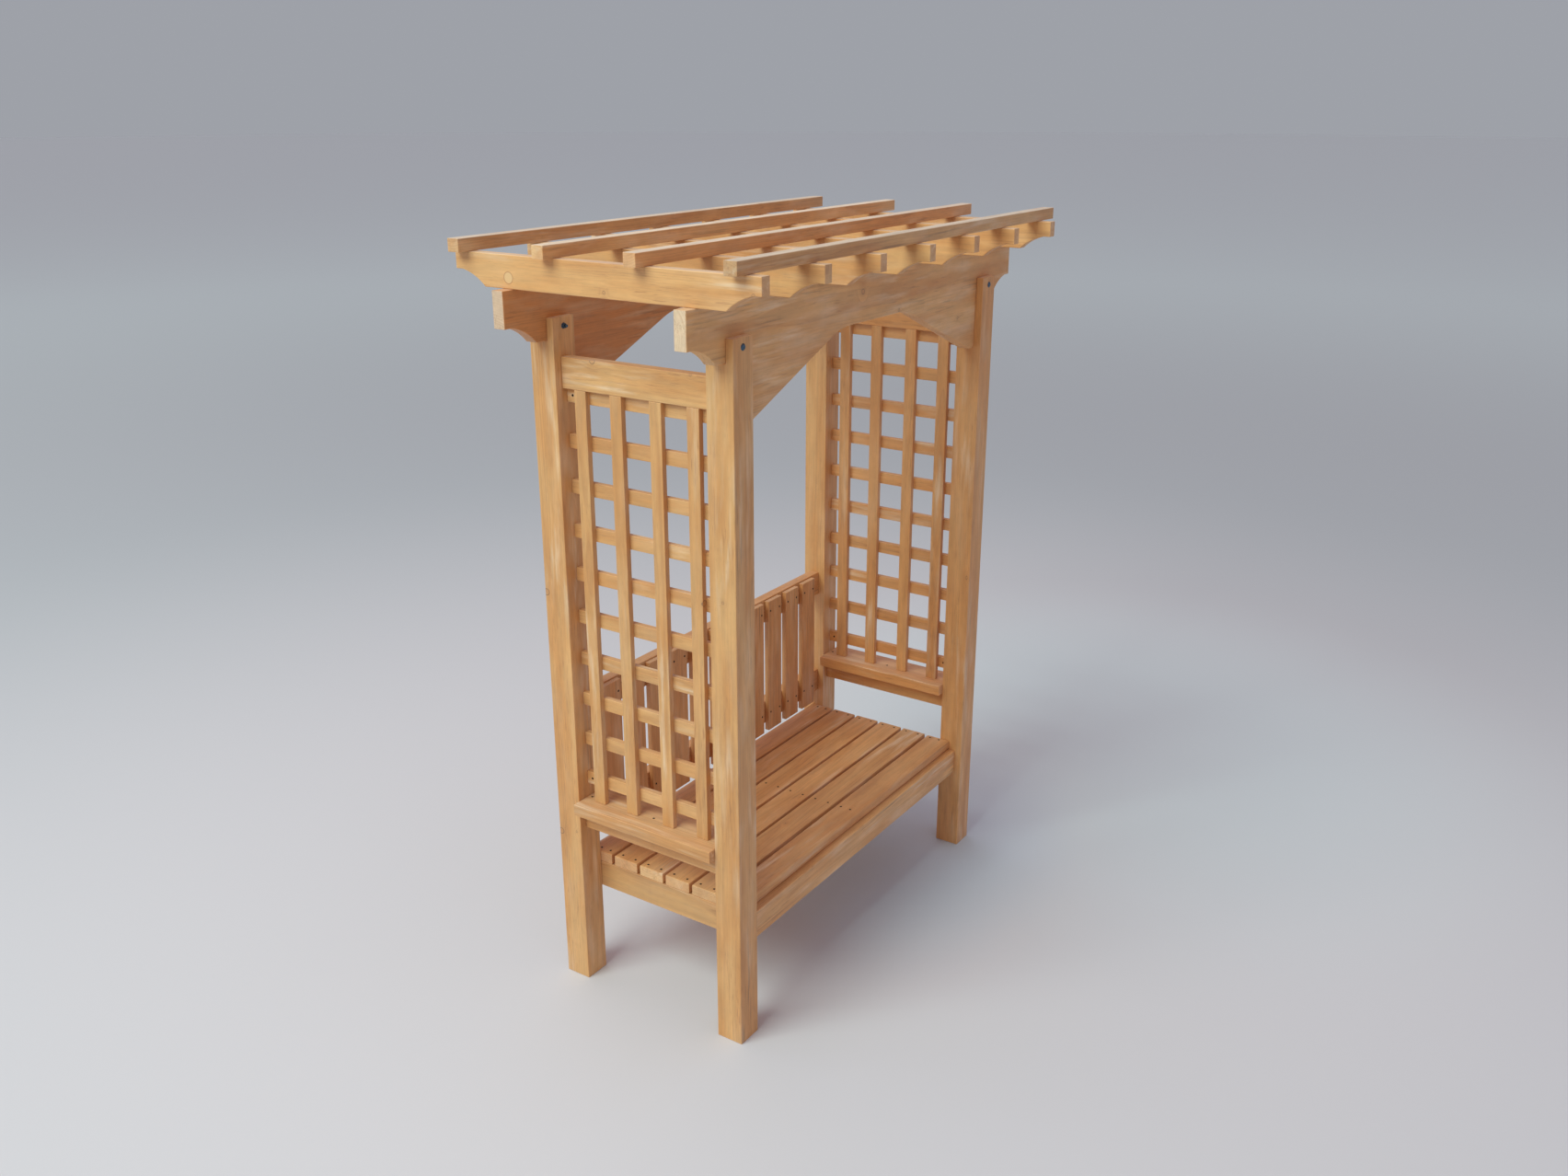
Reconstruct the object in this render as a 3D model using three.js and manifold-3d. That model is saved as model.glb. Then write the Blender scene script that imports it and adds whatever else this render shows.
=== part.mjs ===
// Garden arbour seat: four posts carry two arched beams, a rafter and purlin roof,
// two lattice side panels, a slatted bench seat and a boarded back.
// Millimetres, +Z up. X runs along the bench, -Y is the open front, z = 0 is the ground.
// The pieces are laid out about the middle of the post frame, and the group is then moved
// so that the origin lies below the middle of the roof.

import * as THREE from 'three';
import { mergeVertices } from 'three/addons/utils/BufferGeometryUtils.js';
import Module from 'manifold-3d';

const wasm = await Module();
wasm.setup();

// Frame
const frame_length = 1544;          // outside to outside of the posts along X
const frame_depth = 712;            // outside to outside of the posts along Y
const post_width = 90;
const seat_gap = 0.3;               // left between pieces that bear on each other
const cut_overrun = 5;              // how far every cutting tool runs past the wood
const weld_distance = 0.0001;       // corners closer than this are one corner

// Boards and their eased edges
const rail_thickness = 38;
const rail_depth = 91;
const arris = 2.5;                  // easing of the long edges of thick timber
const thin_arris = 1.5;             // easing of the long edges of thin slats

// Post heads and the bolts through them
const shoulder_height = 2116;       // floor of the bridle slot that the beam is let into
const cheek_rise = 65;              // cheeks of the slot above its floor
const bolt_rise = 39;               // bolt above the floor of the slot
const bolt_diameter = 8;
const bolt_clearance = 0.6;
const bolt_head_diameter = 20;
const bolt_head_height = 5;
const bolt_tail = 14;               // thread that stands out past the inner cheek
const bolt_tip_chamfer = 0.8;
const nut_across_flats = 13;
const nut_sides = 6;
const nut_height = 6.5;
const nut_flange_diameter = 18;
const nut_flange_height = 1.6;

// Arched beams
const beam_overhang = 162;          // past the outer faces of the posts
const beam_thickness = 40;
const beam_depth = 156;             // over the post heads
const beam_end_depth = 104;
const beam_end_flat = 25;
const beam_cove_run = 96;
const beam_cove_radius = 160;
const arch_foot_drop = 171;         // feet of the arch below the slot floor
const arch_foot_flat = 36;
const arch_crown_rise = 15;         // crown of the arch above the slot floor
const arch_crown_half_width = 195;
const arch_crown_ease = 45;         // half length of the curve between the slope and the crown

// Rafters
const rafter_count = 7;
const rafter_front_overhang = 176;  // past the front faces of the front posts
const rafter_rear_overhang = 144;   // past the rear faces of the rear posts
const rafter_left_inset = 39;       // first rafter in from the left beam ends
const rafter_right_inset = 87;      // last rafter in from the right beam ends
const rafter_depth = 92;
const rafter_thickness = 36;
const rafter_end_depth = 49;
const rafter_end_flat = 24;
const rafter_cove_run = 83;
const rafter_cove_radius = 170;

// Purlins
const purlin_count = 4;
const purlin_width = 41;
const purlin_depth = 37;
const purlin_front_setback = 45;    // first purlin behind the front ends of the rafters
const purlin_rear_setback = 13;     // last purlin ahead of their rear ends

// Side panels
const side_rail_drop = 46;          // top of the upper rail below the slot floor
const lattice_slat_width = 42;
const lattice_slat_thickness = 19;
const lattice_let_in = 0.5;         // depth that the bars are let into the uprights
const lattice_side_gap = 44;        // between a post and the upright next to it
const lattice_middle_gap = 99;      // between the two middle uprights
const lattice_bar_count = 10;
const lattice_bottom_gap = 46;      // between the lowest bar and the sill
const sill_rise = 223.5;            // top of the sill above the seat
const sill_thickness = 39;
const sill_width = 141;
const lower_rail_depth = 65;

// Seat
const seat_height = 438;
const seat_slat_count = 6;
const seat_slat_gap = 12;
const seat_slat_thickness = 37;
const seat_front_setback = 51;      // first slat behind the front faces of the posts
const seat_rear_setback = 43;       // last slat ahead of the rear faces of the posts
const mid_bearer_offset = 7;        // middle bearer to the right of the middle

// Back
const back_rise = 566;              // top of the upper rail above the seat
const back_lower_rail_rise = 155;   // top of the lower rail above the seat
const back_slat_count = 11;
const back_slat_width = 85;
const back_slat_thickness = 19;
const back_side_gap = 57.5;         // between a post and the slat next to it
const back_seat_gap = 38;           // between the seat and the lower ends of the slats
const back_slat_drop = 5;           // upper ends of the slats below the top of the rail

// Facets of round parts
const bore_sides = 20;
const head_rings = 6;
const cove_steps = 10;
const crown_steps = 6;

// Sizes worked out from the ones above
const half_length = frame_length / 2;
const half_depth = frame_depth / 2;
const clear_half_length = half_length - post_width;
const clear_half_depth = half_depth - post_width;
const cheek_thickness = (post_width - beam_thickness) / 2 - seat_gap;
const rail_inset = (post_width - rail_thickness) / 2;
const bolt_height = shoulder_height + bolt_rise;
const beam_half_length = half_length + beam_overhang;
const beam_bottom = shoulder_height + seat_gap;
const beam_top = beam_bottom + beam_depth;
const rafter_bottom = beam_top + seat_gap;
const rafter_top = rafter_bottom + rafter_depth;
const rafter_length = frame_depth + rafter_front_overhang + rafter_rear_overhang;
const rafter_shift = (rafter_rear_overhang - rafter_front_overhang) / 2;
const purlin_bottom = rafter_top + seat_gap;
const side_rail_bottom = shoulder_height - side_rail_drop - rail_depth;
const sill_top = seat_height + sill_rise;
const bearer_top = seat_height - seat_slat_thickness - seat_gap;
const bearer_bottom = bearer_top - rail_depth;
const seat_depth = frame_depth - seat_front_setback - seat_rear_setback;
const seat_slat_width = (seat_depth + seat_slat_gap) / seat_slat_count - seat_slat_gap;

const honey = 0xc8a271;
const warm_honey = 0xbd9462;
const pale_honey = 0xd8bd8c;
const blue_steel = 0x35424f;

// Every piece has a finish of its own, so that it can be tinted alone
function timber(colour) {
  return new THREE.MeshStandardMaterial({ color: colour, roughness: 0.66, metalness: 0 });
}

function steel() {
  return new THREE.MeshStandardMaterial({ color: blue_steel, roughness: 0.34, metalness: 0.9 });
}

// Closed outline from corner points, given as [x, y] pairs
function outline(points) {
  const shape = new THREE.Shape();
  shape.moveTo(points[0][0], points[0][1]);
  for (const [x, y] of points.slice(1)) {
    shape.lineTo(x, y);
  }
  shape.closePath();
  return shape;
}

function rectangle(x0, y0, x1, y1) {
  return outline([[x0, y0], [x1, y0], [x1, y1], [x0, y1]]);
}

// Board sawn to an outline, its long edges eased, its thickness along local +Z
function board(shape, thickness, ease) {
  return new THREE.ExtrudeGeometry(shape, {
    depth: thickness - 2 * ease,
    bevelEnabled: true,
    bevelThickness: ease,
    bevelSize: ease,
    bevelOffset: -ease,
    bevelSegments: 1,
    curveSegments: cove_steps,
  }).translate(0, 0, ease);
}

// Local XY of the outline becomes world XZ, and the thickness runs back along +Y from front_y
function stand_along_x(geometry, front_y, thickness) {
  return geometry.rotateX(Math.PI / 2).translate(0, front_y + thickness, 0);
}

// Local XY of the outline becomes world YZ, and the thickness runs along +X from left_x
function stand_along_y(geometry, left_x) {
  const turn = new THREE.Matrix4().makeBasis(
    new THREE.Vector3(0, 1, 0),
    new THREE.Vector3(0, 0, 1),
    new THREE.Vector3(1, 0, 0),
  );
  return geometry.applyMatrix4(turn).translate(left_x, 0, 0);
}

function solid(geometry) {
  const bare = geometry.clone();
  bare.deleteAttribute('normal');
  bare.deleteAttribute('uv');
  const merged = mergeVertices(bare, weld_distance);
  return new wasm.Manifold(new wasm.Mesh({
    numProp: 3,
    vertProperties: new Float32Array(merged.attributes.position.array),
    triVerts: new Uint32Array(merged.index.array),
  }));
}

function surface(manifold) {
  const mesh = manifold.getMesh();
  const geometry = new THREE.BufferGeometry();
  geometry.setAttribute('position', new THREE.BufferAttribute(mesh.vertProperties, 3));
  geometry.setIndex(new THREE.BufferAttribute(mesh.triVerts, 1));
  geometry.computeVertexNormals();
  return geometry;
}

const arbour = new THREE.Group();

function add(name, geometry, material) {
  const mesh = new THREE.Mesh(geometry, material);
  mesh.name = name;
  arbour.add(mesh);
  return mesh;
}

// Cutter for the holes that the bolts at one end of the frame pass through
function bolt_bore(centre_x, centre_y) {
  const radius = (bolt_diameter + bolt_clearance) / 2;
  const length = post_width + 2 * cut_overrun;
  const bore = new THREE.CylinderGeometry(radius, radius, length, bore_sides);
  return solid(bore.translate(centre_x, centre_y, bolt_height));
}

// Points on the cove under a scroll end, from its flat at (x0, y0) in and down to (x1, y1).
// The centre of the arc lies below and outside the chord, so the wood is hollowed.
function cove(x0, y0, x1, y1, radius) {
  const chord = Math.hypot(x1 - x0, y1 - y0);
  const rise = Math.sqrt(radius * radius - chord * chord / 4);
  const centre_x = (x0 + x1) / 2 + rise * (y0 - y1) / chord;
  const centre_y = (y0 + y1) / 2 + rise * (x1 - x0) / chord;
  const start = Math.atan2(y0 - centre_y, x0 - centre_x);
  const sweep = Math.atan2(y1 - centre_y, x1 - centre_x) - start;
  const points = [];
  for (let step = 0; step <= cove_steps; step += 1) {
    const angle = start + sweep * step / cove_steps;
    points.push([centre_x + radius * Math.cos(angle), centre_y + radius * Math.sin(angle)]);
  }
  return points;
}

// Outline that is the same at both ends, from the right half of its lower edge, end to middle
function symmetric_outline(lower, top) {
  const end = lower[0][0];
  const left = lower.map(([x, y]) => [-x, y]);
  const right = lower.slice().reverse();
  return outline([[-end, top], ...left, ...right, [end, top]]);
}

// Place of a copy in an evenly spread row, whose first and last copies lie at the given places
function spread(first, last, count, index) {
  return first + (last - first) * index / (count - 1);
}

// Post: square timber with a bridle slot in its head for the beam
function post_geometry(left_x, front_y) {
  const back = post_width;
  const cheek_top = shoulder_height + cheek_rise;
  const slot_front = cheek_thickness;
  const slot_back = post_width - cheek_thickness;
  const side = outline([
    [arris, 0],
    [back - arris, 0],
    [back, arris],
    [back, cheek_top],
    [slot_back, cheek_top],
    [slot_back, shoulder_height],
    [slot_front, shoulder_height],
    [slot_front, cheek_top],
    [0, cheek_top],
    [0, arris],
  ]);
  const blank = stand_along_y(board(side, post_width, arris), left_x).translate(0, front_y, 0);
  const bore = bolt_bore(left_x + post_width / 2, front_y + post_width / 2);
  return surface(solid(blank).subtract(bore));
}

function add_posts() {
  for (const [row, front_y] of [['front', -half_depth], ['rear', clear_half_depth]]) {
    add(`post_${row}_left`, post_geometry(-half_length, front_y), timber(honey));
    add(`post_${row}_right`, post_geometry(clear_half_length, front_y), timber(honey));
  }
}

// Right half of the beam's lower edge, from the scroll end to the middle of the arch
function beam_lower_edge() {
  const end_bottom = beam_top - beam_end_depth;
  const cove_start = beam_half_length - beam_end_flat;
  const foot_height = shoulder_height - arch_foot_drop;
  const foot_side = clear_half_length - seat_gap;
  const foot_start = foot_side - arch_foot_flat;
  const crown_height = shoulder_height + arch_crown_rise;
  const slope = (crown_height - foot_height) / (foot_start - arch_crown_half_width);
  const corner = new THREE.QuadraticBezierCurve(
    new THREE.Vector2(
      arch_crown_half_width + arch_crown_ease,
      crown_height - slope * arch_crown_ease,
    ),
    new THREE.Vector2(arch_crown_half_width, crown_height),
    new THREE.Vector2(arch_crown_half_width - arch_crown_ease, crown_height),
  );
  return [
    [beam_half_length, end_bottom],
    ...cove(cove_start, end_bottom, cove_start - beam_cove_run, beam_bottom, beam_cove_radius),
    [foot_side, beam_bottom],
    [foot_side, foot_height],
    [foot_start, foot_height],
    ...corner.getPoints(crown_steps).map((point) => [point.x, point.y]),
  ];
}

// Beam: arched between the posts, scroll cut at both ends, let into the post heads
function beam_geometry(front_y) {
  const face = symmetric_outline(beam_lower_edge(), beam_top);
  const blank = stand_along_x(board(face, beam_thickness, arris), front_y, beam_thickness);
  const centre_y = front_y + beam_thickness / 2;
  const bolt_x = half_length - post_width / 2;
  const bored = solid(blank).subtract(bolt_bore(-bolt_x, centre_y));
  return surface(bored.subtract(bolt_bore(bolt_x, centre_y)));
}

function add_beams() {
  const inset = cheek_thickness + seat_gap;
  add('beam_front', beam_geometry(-half_depth + inset), timber(warm_honey));
  add('beam_rear', beam_geometry(clear_half_depth + inset), timber(warm_honey));
}

// Rafter: board on edge with a scroll cut under each end
function rafter_geometry(centre_x) {
  const end = rafter_length / 2;
  const end_bottom = rafter_top - rafter_end_depth;
  const cove_start = end - rafter_end_flat;
  const cove_end = cove_start - rafter_cove_run;
  const lower = [
    [end, end_bottom],
    ...cove(cove_start, end_bottom, cove_end, rafter_bottom, rafter_cove_radius),
  ];
  const blank = board(symmetric_outline(lower, rafter_top), rafter_thickness, arris);
  return stand_along_y(blank, centre_x - rafter_thickness / 2).translate(0, rafter_shift, 0);
}

function add_rafters() {
  const first = -beam_half_length + rafter_left_inset + rafter_thickness / 2;
  const last = beam_half_length - rafter_right_inset - rafter_thickness / 2;
  for (let index = 0; index < rafter_count; index += 1) {
    const centre_x = spread(first, last, rafter_count, index);
    add(`rafter_${index + 1}`, rafter_geometry(centre_x), timber(pale_honey));
  }
}

// Purlin: square batten laid across the rafters, as long as the beams
function add_purlins() {
  const top = purlin_bottom + purlin_depth;
  const first = rafter_shift - rafter_length / 2 + purlin_front_setback;
  const last = rafter_shift + rafter_length / 2 - purlin_rear_setback - purlin_width;
  for (let index = 0; index < purlin_count; index += 1) {
    const front_y = spread(first, last, purlin_count, index);
    const face = rectangle(-beam_half_length, purlin_bottom, beam_half_length, top);
    const batten = stand_along_x(board(face, purlin_width, arris), front_y, purlin_width);
    add(`purlin_${index + 1}`, batten, timber(pale_honey));
  }
}

// Rail on edge between the front and rear posts, centred in their width
function side_rail_geometry(post_left_x, bottom, depth) {
  const reach = clear_half_depth - seat_gap;
  const face = rectangle(-reach, bottom, reach, bottom + depth);
  return stand_along_y(board(face, rail_thickness, arris), post_left_x + rail_inset);
}

function sill_geometry(post_left_x) {
  const reach = clear_half_depth - seat_gap;
  const centre_x = post_left_x + post_width / 2;
  const face = rectangle(centre_x - sill_width / 2, -reach, centre_x + sill_width / 2, reach);
  return board(face, sill_thickness, arris).translate(0, 0, sill_top - sill_thickness);
}

// Lattice: uprights on the outer layer, bars on the inner layer let into them, fixed as one panel
function lattice_geometry(post_left_x) {
  const outer_x = post_left_x + rail_inset;
  const bottom = sill_top + seat_gap;
  const top = side_rail_bottom - seat_gap;
  const reach = clear_half_depth - seat_gap;
  const half = lattice_slat_width / 2;
  const outer_place = clear_half_depth - lattice_side_gap - half;
  const inner_place = lattice_middle_gap / 2 + half;
  const slats = [-outer_place, -inner_place, inner_place, outer_place].map((place) => {
    const face = rectangle(place - half, bottom, place + half, top);
    return stand_along_y(board(face, lattice_slat_thickness, thin_arris), outer_x);
  });
  const bar_thickness = rail_thickness - lattice_slat_thickness + lattice_let_in;
  const bar_x = outer_x + lattice_slat_thickness - lattice_let_in;
  const lowest_top = sill_top + lattice_bottom_gap + lattice_slat_width;
  for (let index = 0; index < lattice_bar_count; index += 1) {
    const bar_top = spread(top, lowest_top, lattice_bar_count, index);
    const face = rectangle(-reach, bar_top - lattice_slat_width, reach, bar_top);
    slats.push(stand_along_y(board(face, bar_thickness, thin_arris), bar_x));
  }
  return surface(slats.map(solid).reduce((panel, slat) => panel.add(slat)));
}

function add_side_panel(side, post_left_x) {
  const lower_rail_bottom = sill_top - sill_thickness - seat_gap - lower_rail_depth;
  const top_rail = side_rail_geometry(post_left_x, side_rail_bottom, rail_depth);
  const lower_rail = side_rail_geometry(post_left_x, lower_rail_bottom, lower_rail_depth);
  add(`side_top_rail_${side}`, top_rail, timber(honey));
  add(`side_lattice_${side}`, lattice_geometry(post_left_x), timber(honey));
  add(`side_sill_${side}`, sill_geometry(post_left_x), timber(honey));
  add(`side_lower_rail_${side}`, lower_rail, timber(honey));
}

// Cross member between the left and right posts, set in from their front faces
function cross_rail_geometry(post_front_y, bottom, depth) {
  const reach = clear_half_length - seat_gap;
  const face = rectangle(-reach, bottom, reach, bottom + depth);
  const front_y = post_front_y + rail_inset;
  return stand_along_x(board(face, rail_thickness, arris), front_y, rail_thickness);
}

// Seat bearer running front to back between the two aprons
function bearer_geometry(left_x) {
  const reach = half_depth - rail_inset - rail_thickness - seat_gap;
  const face = rectangle(-reach, bearer_bottom, reach, bearer_top);
  return stand_along_y(board(face, rail_thickness, arris), left_x);
}

function add_seat_frame() {
  const side_x = clear_half_length - seat_gap;
  const front = cross_rail_geometry(-half_depth, bearer_bottom, rail_depth);
  const rear = cross_rail_geometry(clear_half_depth, bearer_bottom, rail_depth);
  add('seat_apron_front', front, timber(warm_honey));
  add('seat_apron_rear', rear, timber(warm_honey));
  add('seat_side_rail_left', bearer_geometry(-side_x), timber(honey));
  add('seat_side_rail_right', bearer_geometry(side_x - rail_thickness), timber(honey));
  add('seat_mid_bearer', bearer_geometry(mid_bearer_offset - rail_thickness / 2), timber(honey));
}

function add_seat_slats() {
  const reach = clear_half_length - seat_gap;
  const first = -half_depth + seat_front_setback;
  const last = half_depth - seat_rear_setback - seat_slat_width;
  for (let index = 0; index < seat_slat_count; index += 1) {
    const front_y = spread(first, last, seat_slat_count, index);
    const face = rectangle(-reach, front_y, reach, front_y + seat_slat_width);
    const slat = board(face, seat_slat_thickness, arris);
    slat.translate(0, 0, seat_height - seat_slat_thickness);
    add(`seat_slat_${index + 1}`, slat, timber(honey));
  }
}

// Back: two cross rails between the rear posts, upright slats screwed to their front faces
function add_back() {
  const back_top = seat_height + back_rise;
  const lower_rail_bottom = seat_height + back_lower_rail_rise - rail_depth;
  const top_rail = cross_rail_geometry(clear_half_depth, back_top - rail_depth, rail_depth);
  const bottom_rail = cross_rail_geometry(clear_half_depth, lower_rail_bottom, rail_depth);
  add('back_top_rail', top_rail, timber(warm_honey));
  add('back_bottom_rail', bottom_rail, timber(warm_honey));
  const front_y = clear_half_depth + rail_inset - seat_gap - back_slat_thickness;
  const slat_bottom = seat_height + back_seat_gap;
  const slat_top = back_top - back_slat_drop;
  const first = -clear_half_length + back_side_gap;
  const last = clear_half_length - back_side_gap - back_slat_width;
  for (let index = 0; index < back_slat_count; index += 1) {
    const left_x = spread(first, last, back_slat_count, index);
    const face = rectangle(left_x, slat_bottom, left_x + back_slat_width, slat_top);
    const blank = board(face, back_slat_thickness, thin_arris);
    const name = `back_slat_${String(index + 1).padStart(2, '0')}`;
    add(name, stand_along_x(blank, front_y, back_slat_thickness), timber(warm_honey));
  }
}

// Cup head bolt along +Y, the underside of its head at the local origin
function bolt_geometry() {
  const shank = bolt_diameter / 2;
  const head = bolt_head_diameter / 2;
  const dome_radius = (head * head + bolt_head_height * bolt_head_height) / (2 * bolt_head_height);
  const dome_centre = dome_radius - bolt_head_height;
  const rim_angle = Math.asin(head / dome_radius);
  const profile = [];
  for (let ring = 0; ring <= head_rings; ring += 1) {
    const angle = rim_angle * ring / head_rings;
    const radius = dome_radius * Math.sin(angle);
    profile.push(new THREE.Vector2(radius, dome_centre - dome_radius * Math.cos(angle)));
  }
  const length = post_width + 2 * seat_gap + bolt_tail;
  profile.push(new THREE.Vector2(shank, 0));
  profile.push(new THREE.Vector2(shank, length - bolt_tip_chamfer));
  profile.push(new THREE.Vector2(shank - bolt_tip_chamfer, length));
  profile.push(new THREE.Vector2(0, length));
  return new THREE.LatheGeometry(profile, bore_sides);
}

// Hexagon nut with a round flange, along +Y, the face of its flange at the local origin
function nut_geometry() {
  const corner = nut_across_flats / 2 / Math.cos(Math.PI / nut_sides);
  const hexagon = [];
  for (let index = 0; index < nut_sides; index += 1) {
    const angle = 2 * Math.PI * index / nut_sides;
    hexagon.push([corner * Math.cos(angle), corner * Math.sin(angle)]);
  }
  const body = new THREE.ExtrudeGeometry(outline(hexagon), {
    depth: nut_height,
    bevelEnabled: false,
  }).rotateX(-Math.PI / 2);
  const flange_radius = nut_flange_diameter / 2;
  const flange = new THREE.CylinderGeometry(
    nut_across_flats / 2,
    flange_radius,
    nut_flange_height,
    bore_sides,
  ).translate(0, nut_flange_height / 2, 0);
  const bore_radius = (bolt_diameter + bolt_clearance) / 2;
  const bore = new THREE.CylinderGeometry(
    bore_radius,
    bore_radius,
    2 * (nut_height + cut_overrun),
    bore_sides,
  );
  return surface(solid(body).add(solid(flange)).subtract(solid(bore)));
}

// The heads lie on the outer cheeks and the nuts on the cheeks that face into the seat
function add_bolts() {
  const bolt_x = half_length - post_width / 2;
  for (const [row, outward] of [['front', -1], ['rear', 1]]) {
    for (const [side, centre_x] of [['left', -bolt_x], ['right', bolt_x]]) {
      const bolt = add(`bolt_${row}_${side}`, bolt_geometry(), steel());
      bolt.position.set(centre_x, outward * (half_depth + seat_gap), bolt_height);
      bolt.rotation.z = outward < 0 ? 0 : Math.PI;
      const nut = add(`nut_${row}_${side}`, nut_geometry(), steel());
      nut.position.set(centre_x, outward * (clear_half_depth - seat_gap), bolt_height);
      nut.rotation.z = outward < 0 ? 0 : Math.PI;
    }
  }
}

add_posts();
add_beams();
add_rafters();
add_purlins();
add_side_panel('left', -half_length);
add_side_panel('right', clear_half_length);
add_seat_frame();
add_seat_slats();
add_back();
add_bolts();
arbour.position.y = -rafter_shift;

export default arbour;
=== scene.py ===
"""Looks of a timber garden arbour seat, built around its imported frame.

Every board of the frame is made again at the size and place that the frame gives, with
rounded arrises and a solid wood figure of its own. The bolts and nuts of the frame stay.
Lengths are in metres, +Z is up, X runs along the bench and -Y is its open front.
"""

import math

import bpy
import numpy as np
from bpy.props import (
    FloatProperty,
    FloatVectorProperty,
    IntProperty,
    PointerProperty,
)
from bpy.types import Operator, Panel, PropertyGroup
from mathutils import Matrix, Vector


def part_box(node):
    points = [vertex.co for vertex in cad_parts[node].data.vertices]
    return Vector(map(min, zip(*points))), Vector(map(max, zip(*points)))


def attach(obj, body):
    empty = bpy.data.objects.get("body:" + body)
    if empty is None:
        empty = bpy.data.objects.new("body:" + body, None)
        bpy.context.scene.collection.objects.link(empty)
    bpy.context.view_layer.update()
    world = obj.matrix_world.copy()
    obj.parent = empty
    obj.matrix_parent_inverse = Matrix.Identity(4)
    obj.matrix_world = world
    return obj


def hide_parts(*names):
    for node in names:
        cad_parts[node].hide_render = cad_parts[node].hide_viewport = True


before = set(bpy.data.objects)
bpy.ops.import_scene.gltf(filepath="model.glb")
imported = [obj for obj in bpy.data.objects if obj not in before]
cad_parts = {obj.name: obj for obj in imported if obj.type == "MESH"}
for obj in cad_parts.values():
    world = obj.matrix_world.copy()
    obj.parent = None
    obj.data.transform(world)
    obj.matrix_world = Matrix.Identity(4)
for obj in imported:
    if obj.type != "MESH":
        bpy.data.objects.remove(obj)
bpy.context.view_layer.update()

bl_info = {
    "name": "Garden arbour seat",
    "version": (1, 0, 0),
    "blender": (4, 5, 0),
    "location": "View3D > Sidebar > Arbour",
    "description": "Builds the looks of a timber arbour seat around its frame",
    "category": "Add Mesh",
}

X, Y, Z = range(3)
SIDES = ("left", "right")
ROWS = ("front", "rear")
SEAT_BEARERS = ("seat_side_rail_left", "seat_mid_bearer", "seat_side_rail_right")
BODY = "root"
# Every board has attributes for as many knots, and those it hasn't got are far away.
KNOTS_PER_BOARD = 3
FAR_AWAY = 90.0
NO_MARK = ((FAR_AWAY, FAR_AWAY, FAR_AWAY), 1.0)
# Sockets of a mix node that mixes colours.
MIX_SHARE, MIX_FIRST, MIX_SECOND = 0, 6, 7
MIX_RESULT = 2
# Outlines have a corner, and screw heads an edge, where they turn by more than this.
LEAST_TURN = math.radians(6)
CREASE = math.radians(35)
# How far the pith lies outside a board, and the length of log that boards are cut from.
PITH_OUTSIDE = (0.018, 0.070)
LOG_LENGTH = 40
# How many ring widths the rings wander, and are pushed aside by a knot.
RING_SPREAD = 3.4
KNOT_PUSH = 1.3
# Chance makes a pin knot where a number from 0 to 1 is over the start, and it grows from there.
PIN_START = 0.9
PIN_GROWTH = 0.7
# Depth of the pitting of the bolts and nuts, in metres.
PIT_DEPTH = 0.0001
# Rings of a screw head from the wood to the crown: shares of its radius and of its rise.
HEAD_RINGS = ((1.0, -1.0), (1.0, 0.45), (0.94, 0.85), (0.75, 1.0))
# Its recess: level of the brim as a share of the rise, taper to the floor, and lobes.
RECESS_BRIM = 0.96
RECESS_TAPER = 0.92
LOBES = 6
LOBE_DEPTH = 0.16
# Points of the floor, its first ring, and how far the painted shadow tint below the seat
# is squeezed in Y.
FLOOR_RINGS = 24
FLOOR_SIDES = 96
FLOOR_CENTRE_SHARE = 0.05
UNDER_SQUEEZE = 1.6

# Knots that the photograph shows, by board: centre and radius of each.
KNOTS = {
    "rafter_1_board": (((-0.895, -0.019, 2.289), 0.0045), ((-0.895, -0.491, 2.317), 0.0050)),
    "side_top_rail_left_board": (((-0.746, 0.165, 2.069), 0.0085), ((-0.746, -0.180, 2.068), 0.0040)),
    "post_rear_left_board": (
        ((-0.772, 0.365, 0.530), 0.0100),
        ((-0.772, 0.366, 1.350), 0.0100),
        ((-0.772, 0.299, 0.546), 0.0035),
    ),
    "post_front_left_board": (((-0.772, -0.295, 1.450), 0.0040),),
    "side_lattice_left_upright_1": (((-0.738, -0.206, 1.420), 0.0085),),
    "beam_front_board": (
        ((-0.075, -0.315, 2.221), 0.0075),
        ((0.146, -0.315, 2.139), 0.0050),
        ((0.550, -0.315, 2.063), 0.0050),
    ),
}
# The round patch let into the first rafter, likewise.
PLUGS = {"rafter_1_board": ((-0.895, 0.319, 2.303), 0.0150)}
# Lightness and depth of stain, from 0 to 1, of boards that stand out in the photograph.
# Both carry painted light and shade of these boards as well as their own tone and stain.
BOARD_LOOKS = {
    "beam_front_board": (0.75, 0.0),
    "beam_rear_board": (0.10, 0.9),
    "post_front_right_board": (0.50, 0.3),
    "purlin_1_board": (0.10, 0.0),
    "purlin_2_board": (0.60, 0.5),
    "purlin_3_board": (1.00, 0.0),
    "seat_slat_1_board": (0.20, 0.2),
    "seat_slat_2_board": (0.45, 0.0),
    "seat_slat_3_board": (0.85, 0.1),
    "seat_slat_4_board": (1.00, 0.0),
    "seat_slat_5_board": (0.50, 0.40),
    "seat_slat_6_board": (0.30, 0.55),
    "seat_side_rail_left_board": (0.00, 0.1),
    "side_sill_right_board": (1.00, 0.4),
}
# Boards whose names start so lie in shade, and get a deeper stain that is painted shade.
SHADED = ("back_", "side_lattice_right", "side_top_rail_right", "seat_apron_rear")
# Depth of stain of shaded boards, which is partly painted shade, and of open boards,
# how far it strays, and the lightness of both.
SHADED_STAIN = 0.45
OPEN_STAIN = 0.08
STAIN_SPREAD = 0.08
USUAL_TONE = (0.3, 0.7)


def named(start):
    """Nodes of the frame whose names start so, in order."""
    return sorted(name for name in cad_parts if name.startswith(start))


# Settings


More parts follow.
